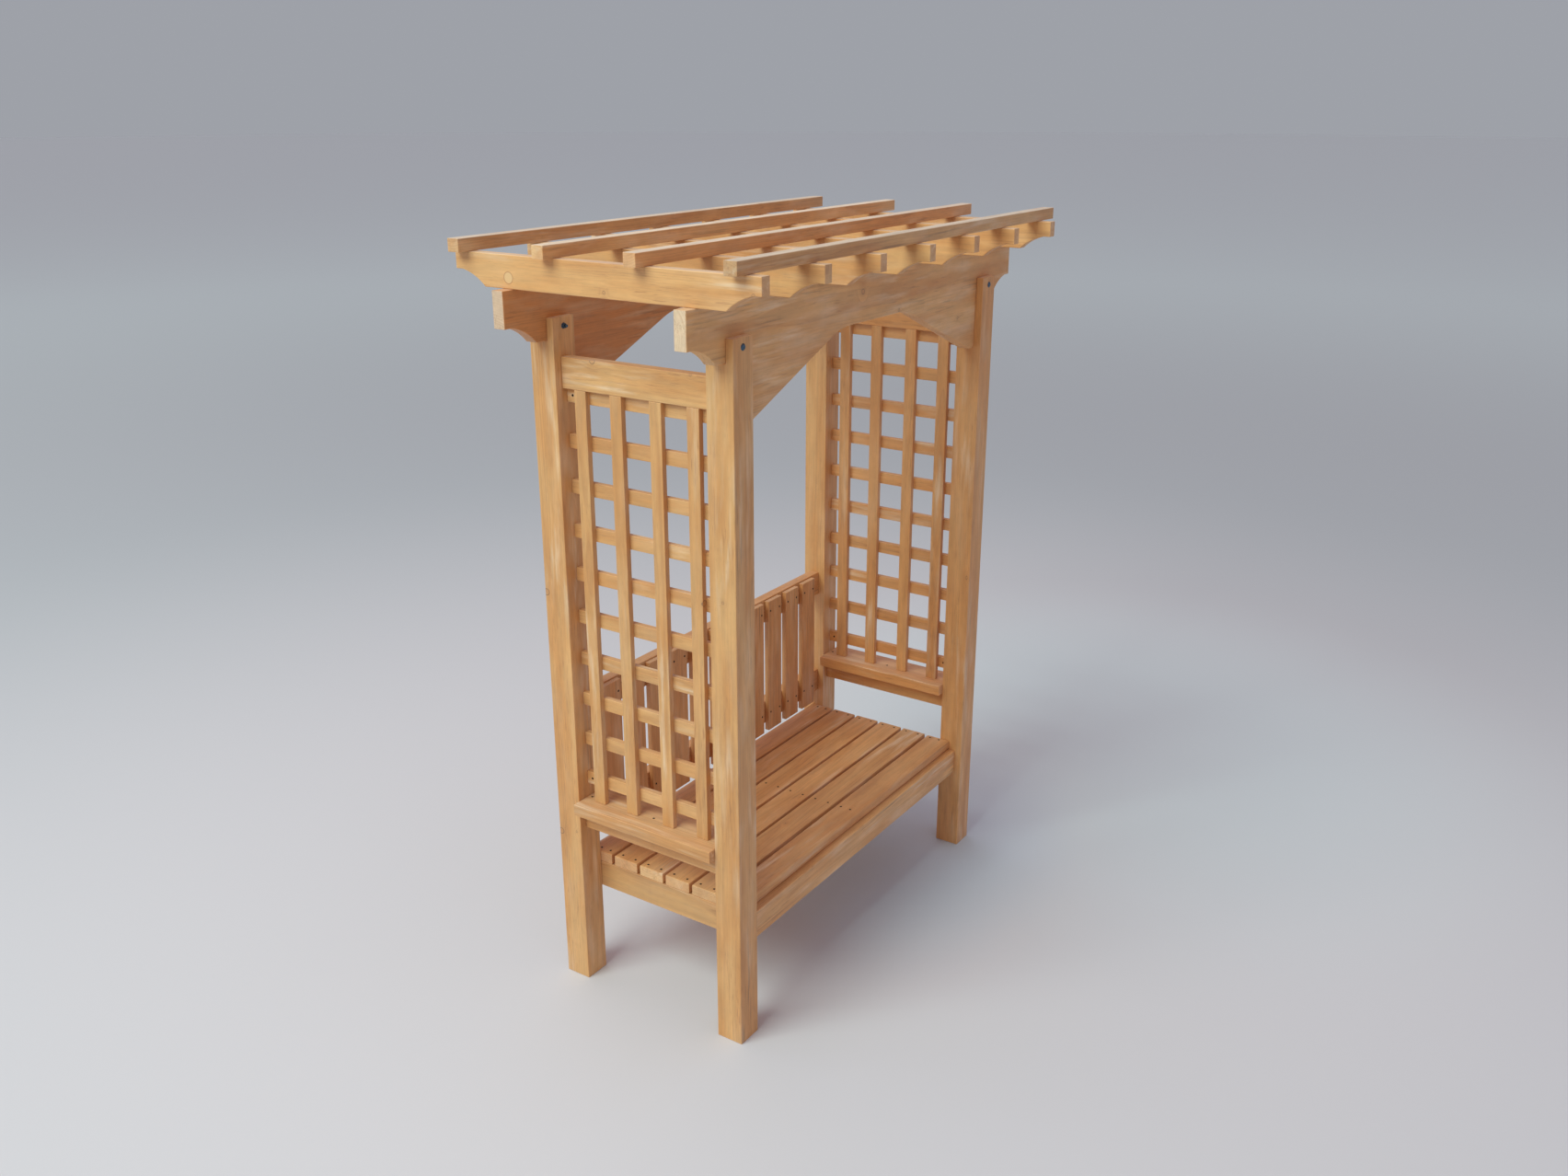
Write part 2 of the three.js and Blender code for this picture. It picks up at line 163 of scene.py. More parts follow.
def length(label, text, default):
    """A length in metres that the user can change."""
    return FloatProperty(name=label, description=text, default=default, min=0, unit="LENGTH", precision=4)


def amount(label, text, default, unit="NONE"):
    """A number that the user can change."""
    return FloatProperty(name=label, description=text, default=default, unit=unit)


def spot(label, text, default):
    """A point in metres that the user can change."""
    return FloatVectorProperty(name=label, description=text, default=default, subtype="TRANSLATION")


def fade_span(label, text, default):
    """The start and end of a fade, in metres, that the user can change."""
    return FloatVectorProperty(name=label, description=text, default=default, size=2, unit="LENGTH")


def whole(label, text, default, least):
    """A whole number that the user can change."""
    return IntProperty(name=label, description=text, default=default, min=least)


def colour(label, text, default):
    """A colour that the user can change."""
    return FloatVectorProperty(
        name=label, description=text, default=default, size=3, min=0, max=1, subtype="COLOR"
    )


class ArbourBoards(PropertyGroup):
    """Sizes of the boards that the boxes of the frame don't tell."""

    arris: length("Arris", "Rounding of the long edges of thick timber", 0.0026)
    seat_arris: length("Seat arris", "Rounding of the long edges of the seat slats and aprons", 0.0034)
    nosing: length("Nosing", "Rounding of the front seat slat", 0.0075)
    thin_arris: length("Thin arris", "Rounding of the long edges of thin slats", 0.0018)
    corner: length("Corner", "Rounding of the sawn ends", 0.0012)
    arris_steps: whole("Arris steps", "Facets of a rounding", 4, 1)
    seat_gap: length("Seat gap", "Gap left between pieces that bear on each other", 0.0003)
    shoulder_height: length("Shoulder height", "Floor of the slot in the post heads", 2.116)
    beam_end_depth: length("Beam end depth", "Depth of a beam at its ends", 0.104)
    beam_end_flat: length("Beam end flat", "Flat below a beam's end, before its cove", 0.025)
    beam_cove_run: length("Beam cove run", "Length of the cove below a beam's end", 0.096)
    beam_cove_radius: length("Beam cove radius", "Radius of that cove", 0.160)
    arch_foot_flat: length("Arch foot flat", "Flat at the foot of the arch, beside the post", 0.036)
    arch_crown_rise: length("Arch crown rise", "Crown of the arch above the slot floor", 0.015)
    arch_crown_half_width: length("Arch crown half width", "Half of the flat at the crown", 0.195)
    arch_crown_ease: length("Arch crown ease", "Reach of the curve beside the crown", 0.045)
    rafter_end_depth: length("Rafter end depth", "Depth of a rafter at its ends", 0.049)
    rafter_end_flat: length("Rafter end flat", "Flat below a rafter's end, before its cove", 0.024)
    rafter_cove_run: length("Rafter cove run", "Length of the cove below a rafter's end", 0.083)
    rafter_cove_radius: length("Rafter cove radius", "Radius of that cove", 0.170)
    cove_steps: whole("Cove steps", "Facets of a cove", 24, 4)
    lattice_slat_width: length("Lattice slat width", "Width of a slat of the lattice", 0.042)
    lattice_slat_thickness: length("Lattice slat thickness", "Thickness of the uprights", 0.019)
    lattice_let_in: length("Lattice let in", "Depth that the bars are let into the uprights", 0.0005)
    lattice_side_gap: length("Lattice side gap", "Gap between a post and the next upright", 0.044)
    lattice_middle_gap: length("Lattice middle gap", "Gap between the two middle uprights", 0.099)
    lattice_bottom_gap: length("Lattice bottom gap", "Gap between the lowest bar and the sill", 0.046)
    lattice_bars: whole("Lattice bars", "Bars of a lattice", 10, 2)


class ArbourTimber(PropertyGroup):
    """Colours and figure of the stained softwood."""

    pale: colour("Pale wood", "Early wood where the stain is thin", (0.70, 0.380, 0.130))
    warm: colour("Warm wood", "Early wood where the stain is full", (0.60, 0.272, 0.071))
    late: colour("Late wood", "Line at the end of each growth ring", (0.40, 0.150, 0.038))
    # Partly painted shade: boards in shade are mixed further towards this deep orange.
    stain_and_shade: colour("Deep stain", "Early wood of sheltered boards", (0.69, 0.268, 0.062))
    bloom: colour("Bloom", "Pale streaks where the grain lifts", (0.78, 0.56, 0.35))
    # Painted highlight: upper faces are mixed towards this pale colour, as if lit from above. Sawn ends
    # pale towards it as well.
    highlight_and_pale_end_colour: colour("Bleached wood", "Upper faces and sawn ends", (0.80, 0.66, 0.49))
    weathered: colour("Weathered wood", "Fine dark checks", (0.18, 0.085, 0.032))
    knot: colour("Knot", "Heart of a pin knot", (0.115, 0.040, 0.014))
    plug: colour("Plug", "Round patch let into a rafter", (0.74, 0.45, 0.190))
    ring_width: length("Ring width", "Mean width of a growth ring", 0.0068)
    sway: length("Sway", "How far the pith wanders along a board", 0.034)
    late_share: amount("Late wood share", "Strength of the ring lines", 0.40)
    fleck_share: amount("Fleck share", "Strength of the dark flecks", 0.60)
    bloom_share: amount("Bloom share", "Strength of the pale streaks", 0.70)
    relief: length("Relief", "Depth of the grain that can be felt", 0.0004)
    roughness: amount("Roughness", "Roughness of the clear finish", 0.64)


class ArbourFasteners(PropertyGroup):
    """Sizes and places of the screws, and the colours of the metal."""

    head_radius: length("Head radius", "Radius of a screw head", 0.0038)
    head_rise: length("Head rise", "How far a screw head stands out of the wood", 0.0005)
    recess_radius: length("Recess radius", "Mean radius of the driver's recess", 0.0017)
    recess_floor: length("Recess floor", "Floor of the recess above the wood", 0.0001)
    head_sides: whole("Head sides", "Facets round a screw head", 24, 12)
    slat_edge: length("Seat screw inset", "Seat screws in from the edges of a slat", 0.0205)
    outer_edge: length("Outer seat screw inset", "The same at the seat's front and rear edge", 0.0350)
    back_edge: length("Back screw inset", "Back screws in from the edges of a slat", 0.0133)
    back_top: length("Back top inset", "Upper screws below the tops of the back slats", 0.039)
    back_bottom: length("Back bottom inset", "Lower screws above the ends of the back slats", 0.073)
    bar_end: length("Bar end inset", "Screws in from the ends of a lattice bar", 0.0217)
    sill_end: length("Sill end inset", "Screws in from the ends of a sill", 0.016)
    zinc: colour("Zinc", "Blue passivated bolts and nuts", (0.11, 0.18, 0.26))
    zinc_dull: colour("Dull zinc", "The same where it is weathered", (0.045, 0.060, 0.075))
    bronze: colour("Bronze", "Coated screw heads", (0.022, 0.015, 0.011))
    bronze_dull: colour("Dull bronze", "The same where they are weathered", (0.020, 0.016, 0.014))
    # Painted shade in the shallow recess of a screw head.
    recess_shade: colour("Dirt", "Floor of a screw's recess", (0.006, 0.005, 0.004))


class ArbourStage(PropertyGroup):
    """Floor, light and camera."""

    floor_radius: length("Floor radius", "Radius of the floor", 90.0)
    # Painted shadow tint on the floor below the seat.
    floor_shadow_tint_under: colour("Floor under the seat", "Colour of the floor below it", (0.580, 0.640, 0.690))
    # Painted pool of light: the floor round the seat is paler than further out.
    floor_light_pool: colour("Near floor", "Colour of the floor round the seat", (0.660, 0.634, 0.640))
    floor_middle: colour("Middle floor", "Colour of the floor further out", (0.497, 0.522, 0.530))
    floor_far: colour("Far floor", "Colour of the floor far away", (0.668, 0.772, 0.752))
    # Painted tint of the seat's shadow beside it, paler and bluer than the near floor.
    floor_side: colour("Floor beside the seat", "Colour where the shadow falls", (0.660, 0.710, 0.712))
    under_middle: spot("Under middle", "Middle of the floor below the seat", (0.5, -0.2, 0.0))
    under_fade: fade_span("Under fade", "Where the colour below the seat fades", (0.35, 1.10))
    near_fade: fade_span("Near fade", "Where the near colour fades to the middle one", (1.5, 6.5))
    middle_fade: fade_span("Middle fade", "Where the middle colour fades to the far one", (6.0, 19.0))
    side_fade: fade_span("Side fade", "Where the colour beside the seat fades", (0.6, 2.2))
    side_middle: spot("Side middle", "Middle of the floor beside the seat", (2.0, -0.5, 0.0))
    sky_top: colour("Sky top", "Light from above", (0.402, 0.361, 0.408))
    sky_middle: colour("Sky middle", "Light from the walls of the studio", (0.380, 0.341, 0.386))
    sky_front: colour("Sky front", "Light from the wall in front of the seat", (0.596, 0.536, 0.606))
    sky_low: colour("Sky low", "Light from the horizon, the backdrop of a picture", (0.343, 0.357, 0.392))
    sky_back: colour("Sky back", "Light from a soft glow high behind the seat", (0.838, 0.753, 0.852))
    back_way: FloatVectorProperty(
        name="Back way", description="Way to that glow", default=(0.134, 0.629, 0.766), subtype="DIRECTION"
    )
    sky_strength: amount("Sky strength", "Strength of the sky", 1.0)
    key_place: spot("Key place", "Place of the soft box", (-10.5, 2.7, 11.7))
    key_aim: spot("Key aim", "Where the soft box points", (0.0, 0.0, 1.1))
    key_size: length("Key size", "Side of the soft box", 9.3)
    key_power: amount("Key power", "Power of the soft box", 1905, "POWER")
    key_tint: colour("Key tint", "Colour of the soft box", (0.832, 1.0, 0.960))
    camera_place: spot("Camera place", "Place of the camera", (-3.678, -2.433, 2.7933))
    camera_turn: amount("Camera turn", "Turn from +Y towards +X", math.radians(56.34), "ROTATION")
    camera_tilt: amount("Camera tilt", "Tilt below the horizon", math.radians(19.82), "ROTATION")
    focal_length: amount("Focal length", "Of the lens, in millimetres", 31.99)
    sensor_width: amount("Sensor width", "Of the film, in millimetres", 36.0)


# Shapes


def unit(vectors):
    """Vectors of length one: each is divided by the root of the sum of its squares."""
    return vectors / np.linalg.norm(vectors, axis=-1, keepdims=True)


def sharp_corners(outline):
    """Which points of a closed outline are corners: those where it turns by over 6 degrees."""
    before = unit(outline - np.roll(outline, 1, axis=0))
    after = np.roll(before, -1, axis=0)
    return np.sum(before * after, axis=1) < math.cos(LEAST_TURN)


def soft_corners(outline, sharp, reach, steps):
    """Closed outline whose corners are rounded, and whose other points stay.

    A corner c between unit directions a and b to its neighbours becomes the curve
    c + reach ((1 - t) squared a + t squared b), t from 0 to 1, which touches both edges.
    """
    before = unit(np.roll(outline, 1, axis=0) - outline)
    after = unit(np.roll(outline, -1, axis=0) - outline)
    t = np.linspace(0, 1, steps + 1)[None, :, None]
    room = np.where(sharp, reach, 0)[:, None, None]
    arcs = outline[:, None] + room * ((1 - t) ** 2 * before[:, None] + t**2 * after[:, None])
    kept = np.ones(arcs.shape[:2], bool)
    kept[~sharp, 1:] = False
    return arcs[kept]


def edge_normals(outline):
    """Unit vectors to the right of each edge, which is outwards when the outline runs left round."""
    run = unit(np.roll(outline, -1, axis=0) - outline)
    return np.stack([run[:, 1], -run[:, 0]], axis=1)


def mitres(outline):
    """Mitre at each point of a closed outline, from the outward normals m and n of its edges.

    It is (m + n) / (1 + m.n), so that moving all points along it shifts every edge alike.
    """
    after = edge_normals(outline)
    before = np.roll(after, 1, axis=0)
    return (before + after) / (1 + np.sum(before * after, axis=1, keepdims=True))


def point_normals(outline):
    """Unit normal at each point: the mean of its two edges' normals, weighted by length."""
    span = np.linalg.norm(np.roll(outline, -1, axis=0) - outline, axis=1, keepdims=True)
    weighted = edge_normals(outline) * span
    return unit(weighted + np.roll(weighted, 1, axis=0))


def eased_section(thickness, arris, steps):
    """Section through the edge of a board: inset, height and angle of each ring.

    Two quarter circles of radius arris at angle p: the inset is arris (1 - cos p), and the
    height is arris (1 + sin p) below and thickness - arris (1 - sin p) above.
    """
    low = np.linspace(-math.pi / 2, 0, steps + 1)
    high = -low[::-1]
    angle = np.concatenate([low, high])
    inset = arris * (1 - np.cos(angle))
    height = np.concatenate([arris * (1 + np.sin(low)), thickness - arris * (1 - np.sin(high))])
    return inset, height, angle


def ring_faces(rings, points):
    """Corner numbers of the quads between closed rings of points, as one array."""
    ring = np.arange(rings - 1)[:, None] * points
    here = np.arange(points)[None, :]
    there = (here + 1) % points
    quads = np.stack([ring + here, ring + there, ring + there + points, ring + here + points], axis=-1)
    return quads.reshape(-1, 4)


def in_scene(name, data):
    """New object of the scene, at the origin."""
    thing = bpy.data.objects.new(name, data)
    bpy.context.scene.collection.objects.link(thing)
    return thing


def new_piece(name, corners, faces, material):
    """Smooth object at the origin, from corner and face arrays, that rides on the body."""
    mesh = bpy.data.meshes.new(name)
    mesh.from_pydata(corners.tolist(), [], faces)
    mesh.shade_smooth()
    mesh.validate()
    mesh.materials.append(material)
    piece = in_scene(name, mesh)
    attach(piece, BODY)
    return piece


def write_attribute(mesh, name, values):
    """One number or vector for each corner of the mesh, which the finishes read by name."""
    kind, field = ("FLOAT_VECTOR", "vector") if values.ndim == 2 else ("FLOAT", "value")
    layer = mesh.attributes.new(name, kind, "POINT")
    layer.data.foreach_set(field, np.ascontiguousarray(values, np.float32).ravel())


def luck(name):
    """Random numbers that depend on a piece's name alone."""
    return np.random.default_rng([ord(letter) for letter in name])


def board_look(name, chance):
    """Lightness and depth of stain of a board: from the table, or by chance round a usual value."""
    if name in BOARD_LOOKS:
        return BOARD_LOOKS[name]
    # A deeper stain on boards in shade is painted shade.
    depth = SHADED_STAIN if name.startswith(SHADED) else OPEN_STAIN
    return chance.uniform(*USUAL_TONE), depth + chance.uniform(-STAIN_SPREAD, STAIN_SPREAD)


def write_grain(mesh, name, corners, normals, angle, grain):
    """Attributes that place a board in the log it was sawn from.

    grain_place is the corner's place along the grain, and across it from the pith, which
    lies some way outside the board. end_grain is the fourth power of the normal's share
    along the grain, and open_side the square of its share towards the front, not on sawn
    ends. sky_side is the square of its share upwards, the mask of a highlight painted on
    the upper faces. arris_highlight_and_wear is the sine of twice the angle round the arris, the mask of
    a highlight painted along the arrises besides their wear. board_tone and board_stain
    are from board_look, and carry painted light and shade of some boards besides their own
    tone and stain. A knot's or plug's attribute is the way from its centre, divided by its
    radius.
    """
    chance = luck(name)
    across = [axis for axis in range(3) if axis != grain]
    low, high = corners.min(axis=0), corners.max(axis=0)
    size = (high - low)[across]
    thin = int(np.argmin(size))
    pith = np.empty(2)
    pith[thin] = chance.choice((-1, 1)) * (size[thin] / 2 + chance.uniform(*PITH_OUTSIDE))
    pith[1 - thin] = chance.uniform(-0.5, 0.5) * size[1 - thin]
    middle = (low + high)[across] / 2
    place = np.empty_like(corners)
    place[:, 0] = corners[:, grain] + chance.uniform(0, LOG_LENGTH)
    place[:, 1:] = corners[:, across] - middle - pith
    tone, stain = board_look(name, chance)
    fields = {
        "grain_place": place,
        "end_grain": np.abs(normals[:, grain]) ** 4,
        # Mask of a highlight painted along the arrises, besides their wear.
        "arris_highlight_and_wear": np.abs(np.sin(2 * angle)),
        # Mask of the highlight painted on the upper faces.
        "sky_side": np.maximum(normals[:, Z], 0) ** 2,
        "open_side": np.maximum(-normals[:, Y], 0) ** 2 * (grain != Y),
        # Lightness of the board, which carries painted light and shade of some boards.
        "board_tone": np.full(len(corners), tone),
        # Depth of stain, which is painted shade on boards in shade.
        "board_stain": np.full(len(corners), stain),
    }
    knots = [*KNOTS.get(name, ()), *[NO_MARK] * KNOTS_PER_BOARD][:KNOTS_PER_BOARD]
    marks = {f"knot_{number}": knot for number, knot in enumerate(knots)}
    marks["plug"] = PLUGS.get(name, NO_MARK)
    for mark, (centre, radius) in marks.items():
        fields[mark] = (corners - centre) / radius
    for field, values in fields.items():
        write_attribute(mesh, field, values)


def sawn_board(name, outline, plane, start, end, arris, grain, material):
    """Board of the given outline in a plane, from start to end along the plane's normal.

    The outline is carried through the thickness by eased_section: at each ring it is moved
    in along its mitres, then its corners are rounded. A corner's normal is cos p times the
    outline's normal plus sin p times the plane's normal, with p from eased_section. plane
    names the axes of the outline and of the thickness.
    """
    boards = bpy.context.scene.arbour_boards
    mitre, sharp = mitres(outline), sharp_corners(outline)
    inset, height, angle = eased_section(end - start, arris, boards.arris_steps)
    rings = [
        soft_corners(outline - depth * mitre, sharp, boards.corner, boards.arris_steps) for depth in inset
    ]
    normal = point_normals(rings[len(rings) // 2])
    corners = np.empty((len(rings), len(normal), 3))
    corners[..., plane[:2]] = np.array(rings)
    corners[..., plane[2]] = start + height[:, None]
    normals = np.empty_like(corners)
    normals[..., plane[:2]] = np.cos(angle)[:, None, None] * normal[None]
    normals[..., plane[2]] = np.sin(angle)[:, None]
    rings, points = corners.shape[:2]
    corners, normals = corners.reshape(-1, 3), normals.reshape(-1, 3)
    faces = ring_faces(rings, points).tolist()
    faces.append(list(range(points))[::-1])
    faces.append(list(range((rings - 1) * points, rings * points)))
    if np.linalg.det(np.eye(3)[list(plane)]) < 0:
        faces = [face[::-1] for face in faces]
    piece = new_piece(name, corners, faces, material)
    piece.data.normals_split_custom_set_from_vertices(normals.tolist())
    write_grain(piece.data, name, corners, normals, np.repeat(angle, points), grain)
    return piece


def box_outline(low, high):
    """Corners of a rectangle, left round, from its lowest and highest corner."""
    return np.array([low, (high[0], low[1]), high, (low[0], high[1])], float)


def shaped_board(node, outline, plane, arris, grain, material):
    """Board of the given outline, as thick as the box of a CAD node, that stands for it."""
    low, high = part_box(node)
    start, end = low[plane[2]], high[plane[2]]
    piece = sawn_board(f"{node}_board", outline, plane, start, end, arris, grain, material)
    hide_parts(node)
    return piece


def plank(node, grain, through, arris, material):
    """Straight board that fills the box of a CAD node and stands for it."""
    low, high = (np.array(corner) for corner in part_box(node))
    flat = [axis for axis in range(3) if axis != through]
    outline = box_outline(low[flat], high[flat])
    return shaped_board(node, outline, (*flat, through), arris, grain, material)


def planks(nodes, grain, through, arris, material):
    """Planks for the given nodes, all with the same grain, thickness axis, arris and finish."""
    for node in nodes:
        plank(node, grain, through, arris, material)


def cove(start, end, radius, steps):
    """Points on the hollow from start to end: an arc whose centre lies right of the run.

    With the chord's middle m, its length c and the unit vector n to its right, the centre
    is m + n times the root of radius squared less a quarter of c squared.
    """
    run = end - start
    chord = np.linalg.norm(run)
    right = np.array([run[1], -run[0]]) / chord
    centre = (start + end) / 2 + right * math.sqrt(radius**2 - chord**2 / 4)
    first, last = (math.atan2(*(point - centre)[::-1]) for point in (start, end))
    sweep = (last - first + math.pi) % (2 * math.pi) - math.pi
    angle = first + sweep * np.linspace(0, 1, steps + 1)
    return centre + radius * np.stack([np.cos(angle), np.sin(angle)], axis=1)


def scroll_end(tip, bottom, depth, flat, run, radius):
    """Lower edge of a scroll cut end, from the bottom up through its cove and out below the tip.

    tip is the upper corner of the end. Below it the timber is depth deep over the length
    flat, and the cove before that is run long.
    """
    level = tip[1] - depth
    cove_out = tip[0] - flat
    start, end = np.array([cove_out - run, bottom]), np.array([cove_out, level])
    steps = bpy.context.scene.arbour_boards.cove_steps
    return np.concatenate([cove(start, end, radius, steps), [(tip[0], level)]])


def mirrored_outline(lower, top, middle):
    """Outline that is the same at both ends, left round.

    lower is the right half of the lower edge, from the middle out to the end. Its mirror
    image comes first, then the half itself, then the two upper corners.
    """
    mirror = lower[::-1] * (-1, 1) + (2 * middle, 0)
    end = lower[-1, 0]
    upper = np.array([(end, top), (2 * middle - end, top)])
    return np.concatenate([mirror, lower, upper])


# Finishes


def opaque(tone):
    """A colour with full alpha. A socket stays as it is."""
    return tone if isinstance(tone, bpy.types.NodeSocket) else (*tone[:3], 1.0)


class Graph:
    """Nodes of a material or of the sky. An input's value is a socket to link or a constant."""

    def __init__(self, tree):
        self.tree = tree

    def add(self, kind, inputs, **settings):
        """New node with its settings and inputs."""
        node = self.tree.nodes.new(kind)
        for key, value in settings.items():
            setattr(node, key, value)
        self.feed(node, inputs)
        return node

    def feed(self, node, inputs):
        """Links each input of a node to its socket, or sets its constant."""
        for key, value in inputs.items():
            if isinstance(value, bpy.types.NodeSocket):
                self.tree.links.new(value, node.inputs[key])
            else:
                node.inputs[key].default_value = value

    def coordinates(self, kind):
        """Texture coordinates of the given kind."""
        return self.add("ShaderNodeTexCoord", {}).outputs[kind]

    def attribute(self, name, output="Fac"):
        """Attribute of the mesh, as a number or a vector."""
        return self.add("ShaderNodeAttribute", {}, attribute_name=name).outputs[output]

    def math(self, operation, *terms):
        """Result of an operation on numbers."""
        node = self.add("ShaderNodeMath", dict(enumerate(terms)), operation=operation)
        return node.outputs["Value"]

    def times(self, first, second):
        """Product of two numbers."""
        return self.math("MULTIPLY", first, second)

    def times_plus(self, first, second, third):
        """Product of the first two numbers, plus the third."""
        return self.math("MULTIPLY_ADD", first, second, third)

    def vector(self, operation, *terms):
        """Result of an operation on vectors, which is a number for lengths and dot products."""
        node = self.add("ShaderNodeVectorMath", dict(enumerate(terms)), operation=operation)
        return node.outputs["Value" if operation in ("LENGTH", "DOT_PRODUCT") else "Vector"]

    def noise(self, place, scale, detail, colour=False):
        """Soft noise with a cell of 1 / scale metres along each axis."""
        stretched = self.vector("MULTIPLY", place, scale)
        node = self.add("ShaderNodeTexNoise", {"Vector": stretched, "Scale": 1.0, "Detail": detail})
        return node.outputs["Color" if colour else "Fac"]

    def ramp(self, value, *stops):
        """Number that follows straight lines between (place, value) stops."""
        node = self.add("ShaderNodeValToRGB", {"Fac": value})
        elements = node.color_ramp.elements
        while len(elements) < len(stops):
            elements.new(1.0)
        for element, (place, level) in zip(elements, stops):
            element.position = place
            element.color = (level, level, level, 1)
        return node.outputs["Color"]

    def rise(self, value, low, high):
        """Number that is 0 up to low and 1 from high on, with a straight line between."""
        return self.ramp(value, (low, 0.0), (high, 1.0))

    def smooth_step(self, value, fade):
        """Number that rises from 0 at the start of the fade to 1 at its end, with soft ends."""
        inputs = {"Value": value, "From Min": fade[0], "From Max": fade[1]}
        node = self.add("ShaderNodeMapRange", inputs, interpolation_type="SMOOTHSTEP")
        return node.outputs["Result"]

    def blend(self, share, first, second, mode="MIX"):
        """First colour towards second by share."""
        inputs = {MIX_SHARE: share, MIX_FIRST: opaque(first), MIX_SECOND: opaque(second)}
        node = self.add("ShaderNodeMix", inputs, data_type="RGBA", blend_type=mode)
        return node.outputs[MIX_RESULT]

    def bump(self, height, strength, distance):
        """Normal of a surface that is raised by the height times the distance."""
        inputs = {"Height": height, "Strength": strength, "Distance": distance}
        return self.add("ShaderNodeBump", inputs).outputs["Normal"]

    def cover(self, tone, *coats):
        """Colour with coats of (share, colour) laid over it, in order."""
        for share, coat in coats:
            tone = self.blend(share, tone, coat)
        return tone

    def pile(self, total, *layers):
        """Number plus layers of (number, strength), each times its strength."""
        for layer, strength in layers:
            total = self.times_plus(layer, strength, total)
        return total


def new_finish(name, **constants):
    """Material with its shader's constant inputs set, and the graph of its nodes."""
    material = bpy.data.materials.new(name)
    material.use_nodes = True
    graph = Graph(material.node_tree)
    shader = material.node_tree.nodes["Principled BSDF"]
    graph.feed(shader, constants)
    return material, graph, shader


def growth_rings(graph, place, push, timber):
    """Late wood share of a solid figure.

    The distance from a pith that wanders along the board is counted in ring widths, with
    some rings wider than others, and push adds to the count round the knots. The fraction
    of the count rises slowly through the early wood and drops after the late wood.
    """
    wander = graph.noise(place, (1.3, 3.0, 3.0), 2.0, colour=True)
    half = timber.sway / 2
    sway = graph.vector("MULTIPLY_ADD", wander, (0, timber.sway, timber.sway), (0, -half, -half))
    bent = graph.vector("ADD", place, sway)
    radius = graph.vector("LENGTH", graph.vector("MULTIPLY", bent, (0, 1, 1)))
    across = graph.add("ShaderNodeCombineXYZ", {"X": radius}).outputs[0]
    spread = graph.noise(across, (55, 1, 1), 2.0)
    count = graph.math("DIVIDE", radius, timber.ring_width)
    phase = graph.math("FRACT", graph.pile(count, (spread, RING_SPREAD), (push, KNOT_PUSH)))
    return graph.ramp(phase, (0.0, 0.05), (0.45, 0.15), (0.80, 0.75), (0.92, 1.0), (1.0, 0.05))


def knot_parts(graph, place):
    """Heart, rim and surround of the knots, each between 0 and 1.

    The nearest of the board's own knots is the least length of the knot attributes. Chance
    adds pin knots: a cell point of a coarse pattern counts where its cell's random number
    is over 0.9, with a radius that grows from there. Distances are in radii: the heart
    ends at 1, the rim lies round 1, and the surround fades out at 5.
    """
    ratio = FAR_AWAY
    for number in range(KNOTS_PER_BOARD):
        away = graph.vector("LENGTH", graph.attribute(f"knot_{number}", "Vector"))
        ratio = graph.math("MINIMUM", ratio, away)
    stretched = graph.vector("MULTIPLY", place, (7, 15, 15))
    cell = graph.add("ShaderNodeTexVoronoi", {"Vector": stretched, "Scale": 1.0})
    chance = graph.add("ShaderNodeSeparateColor", {"Color": cell.outputs["Color"]}).outputs[0]
    radius = graph.times_plus(chance, PIN_GROWTH, -PIN_GROWTH * PIN_START)
    pin = graph.math("DIVIDE", cell.outputs["Distance"], graph.math("MAXIMUM", radius, 0.0001))
    ratio = graph.math("MINIMUM", ratio, pin)
    fifth = graph.times(ratio, 0.2)
    heart = graph.ramp(fifth, (0.0, 0.50), (0.06, 0.25), (0.17, 0.10), (0.21, 0.0))
    rim = graph.ramp(fifth, (0.16, 0.0), (0.19, 1.0), (0.21, 1.0), (0.24, 0.0))
    surround = graph.ramp(fifth, (0.0, 1.0), (0.2, 0.85), (1.0, 0.0))
    return heart, rim, surround


def plug_parts(graph):
    """Face and joint of the plug: inside 1 radius, and between 0.94 and 1.2 radii."""
    away = graph.vector("LENGTH", graph.attribute("plug", "Vector"))
    half = graph.times(away, 0.5)
    face = graph.ramp(half, (0.0, 1.0), (0.49, 1.0), (0.51, 0.0))
    joint = graph.ramp(half, (0.47, 0.0), (0.51, 1.0), (0.55, 0.9), (0.60, 0.0))
    return face, joint


def patches(graph, place, scale, detail, low, high):
    """Patches of a stretched noise: 0 below low, 1 above high."""
    return graph.rise(graph.noise(place, scale, detail), low, high)


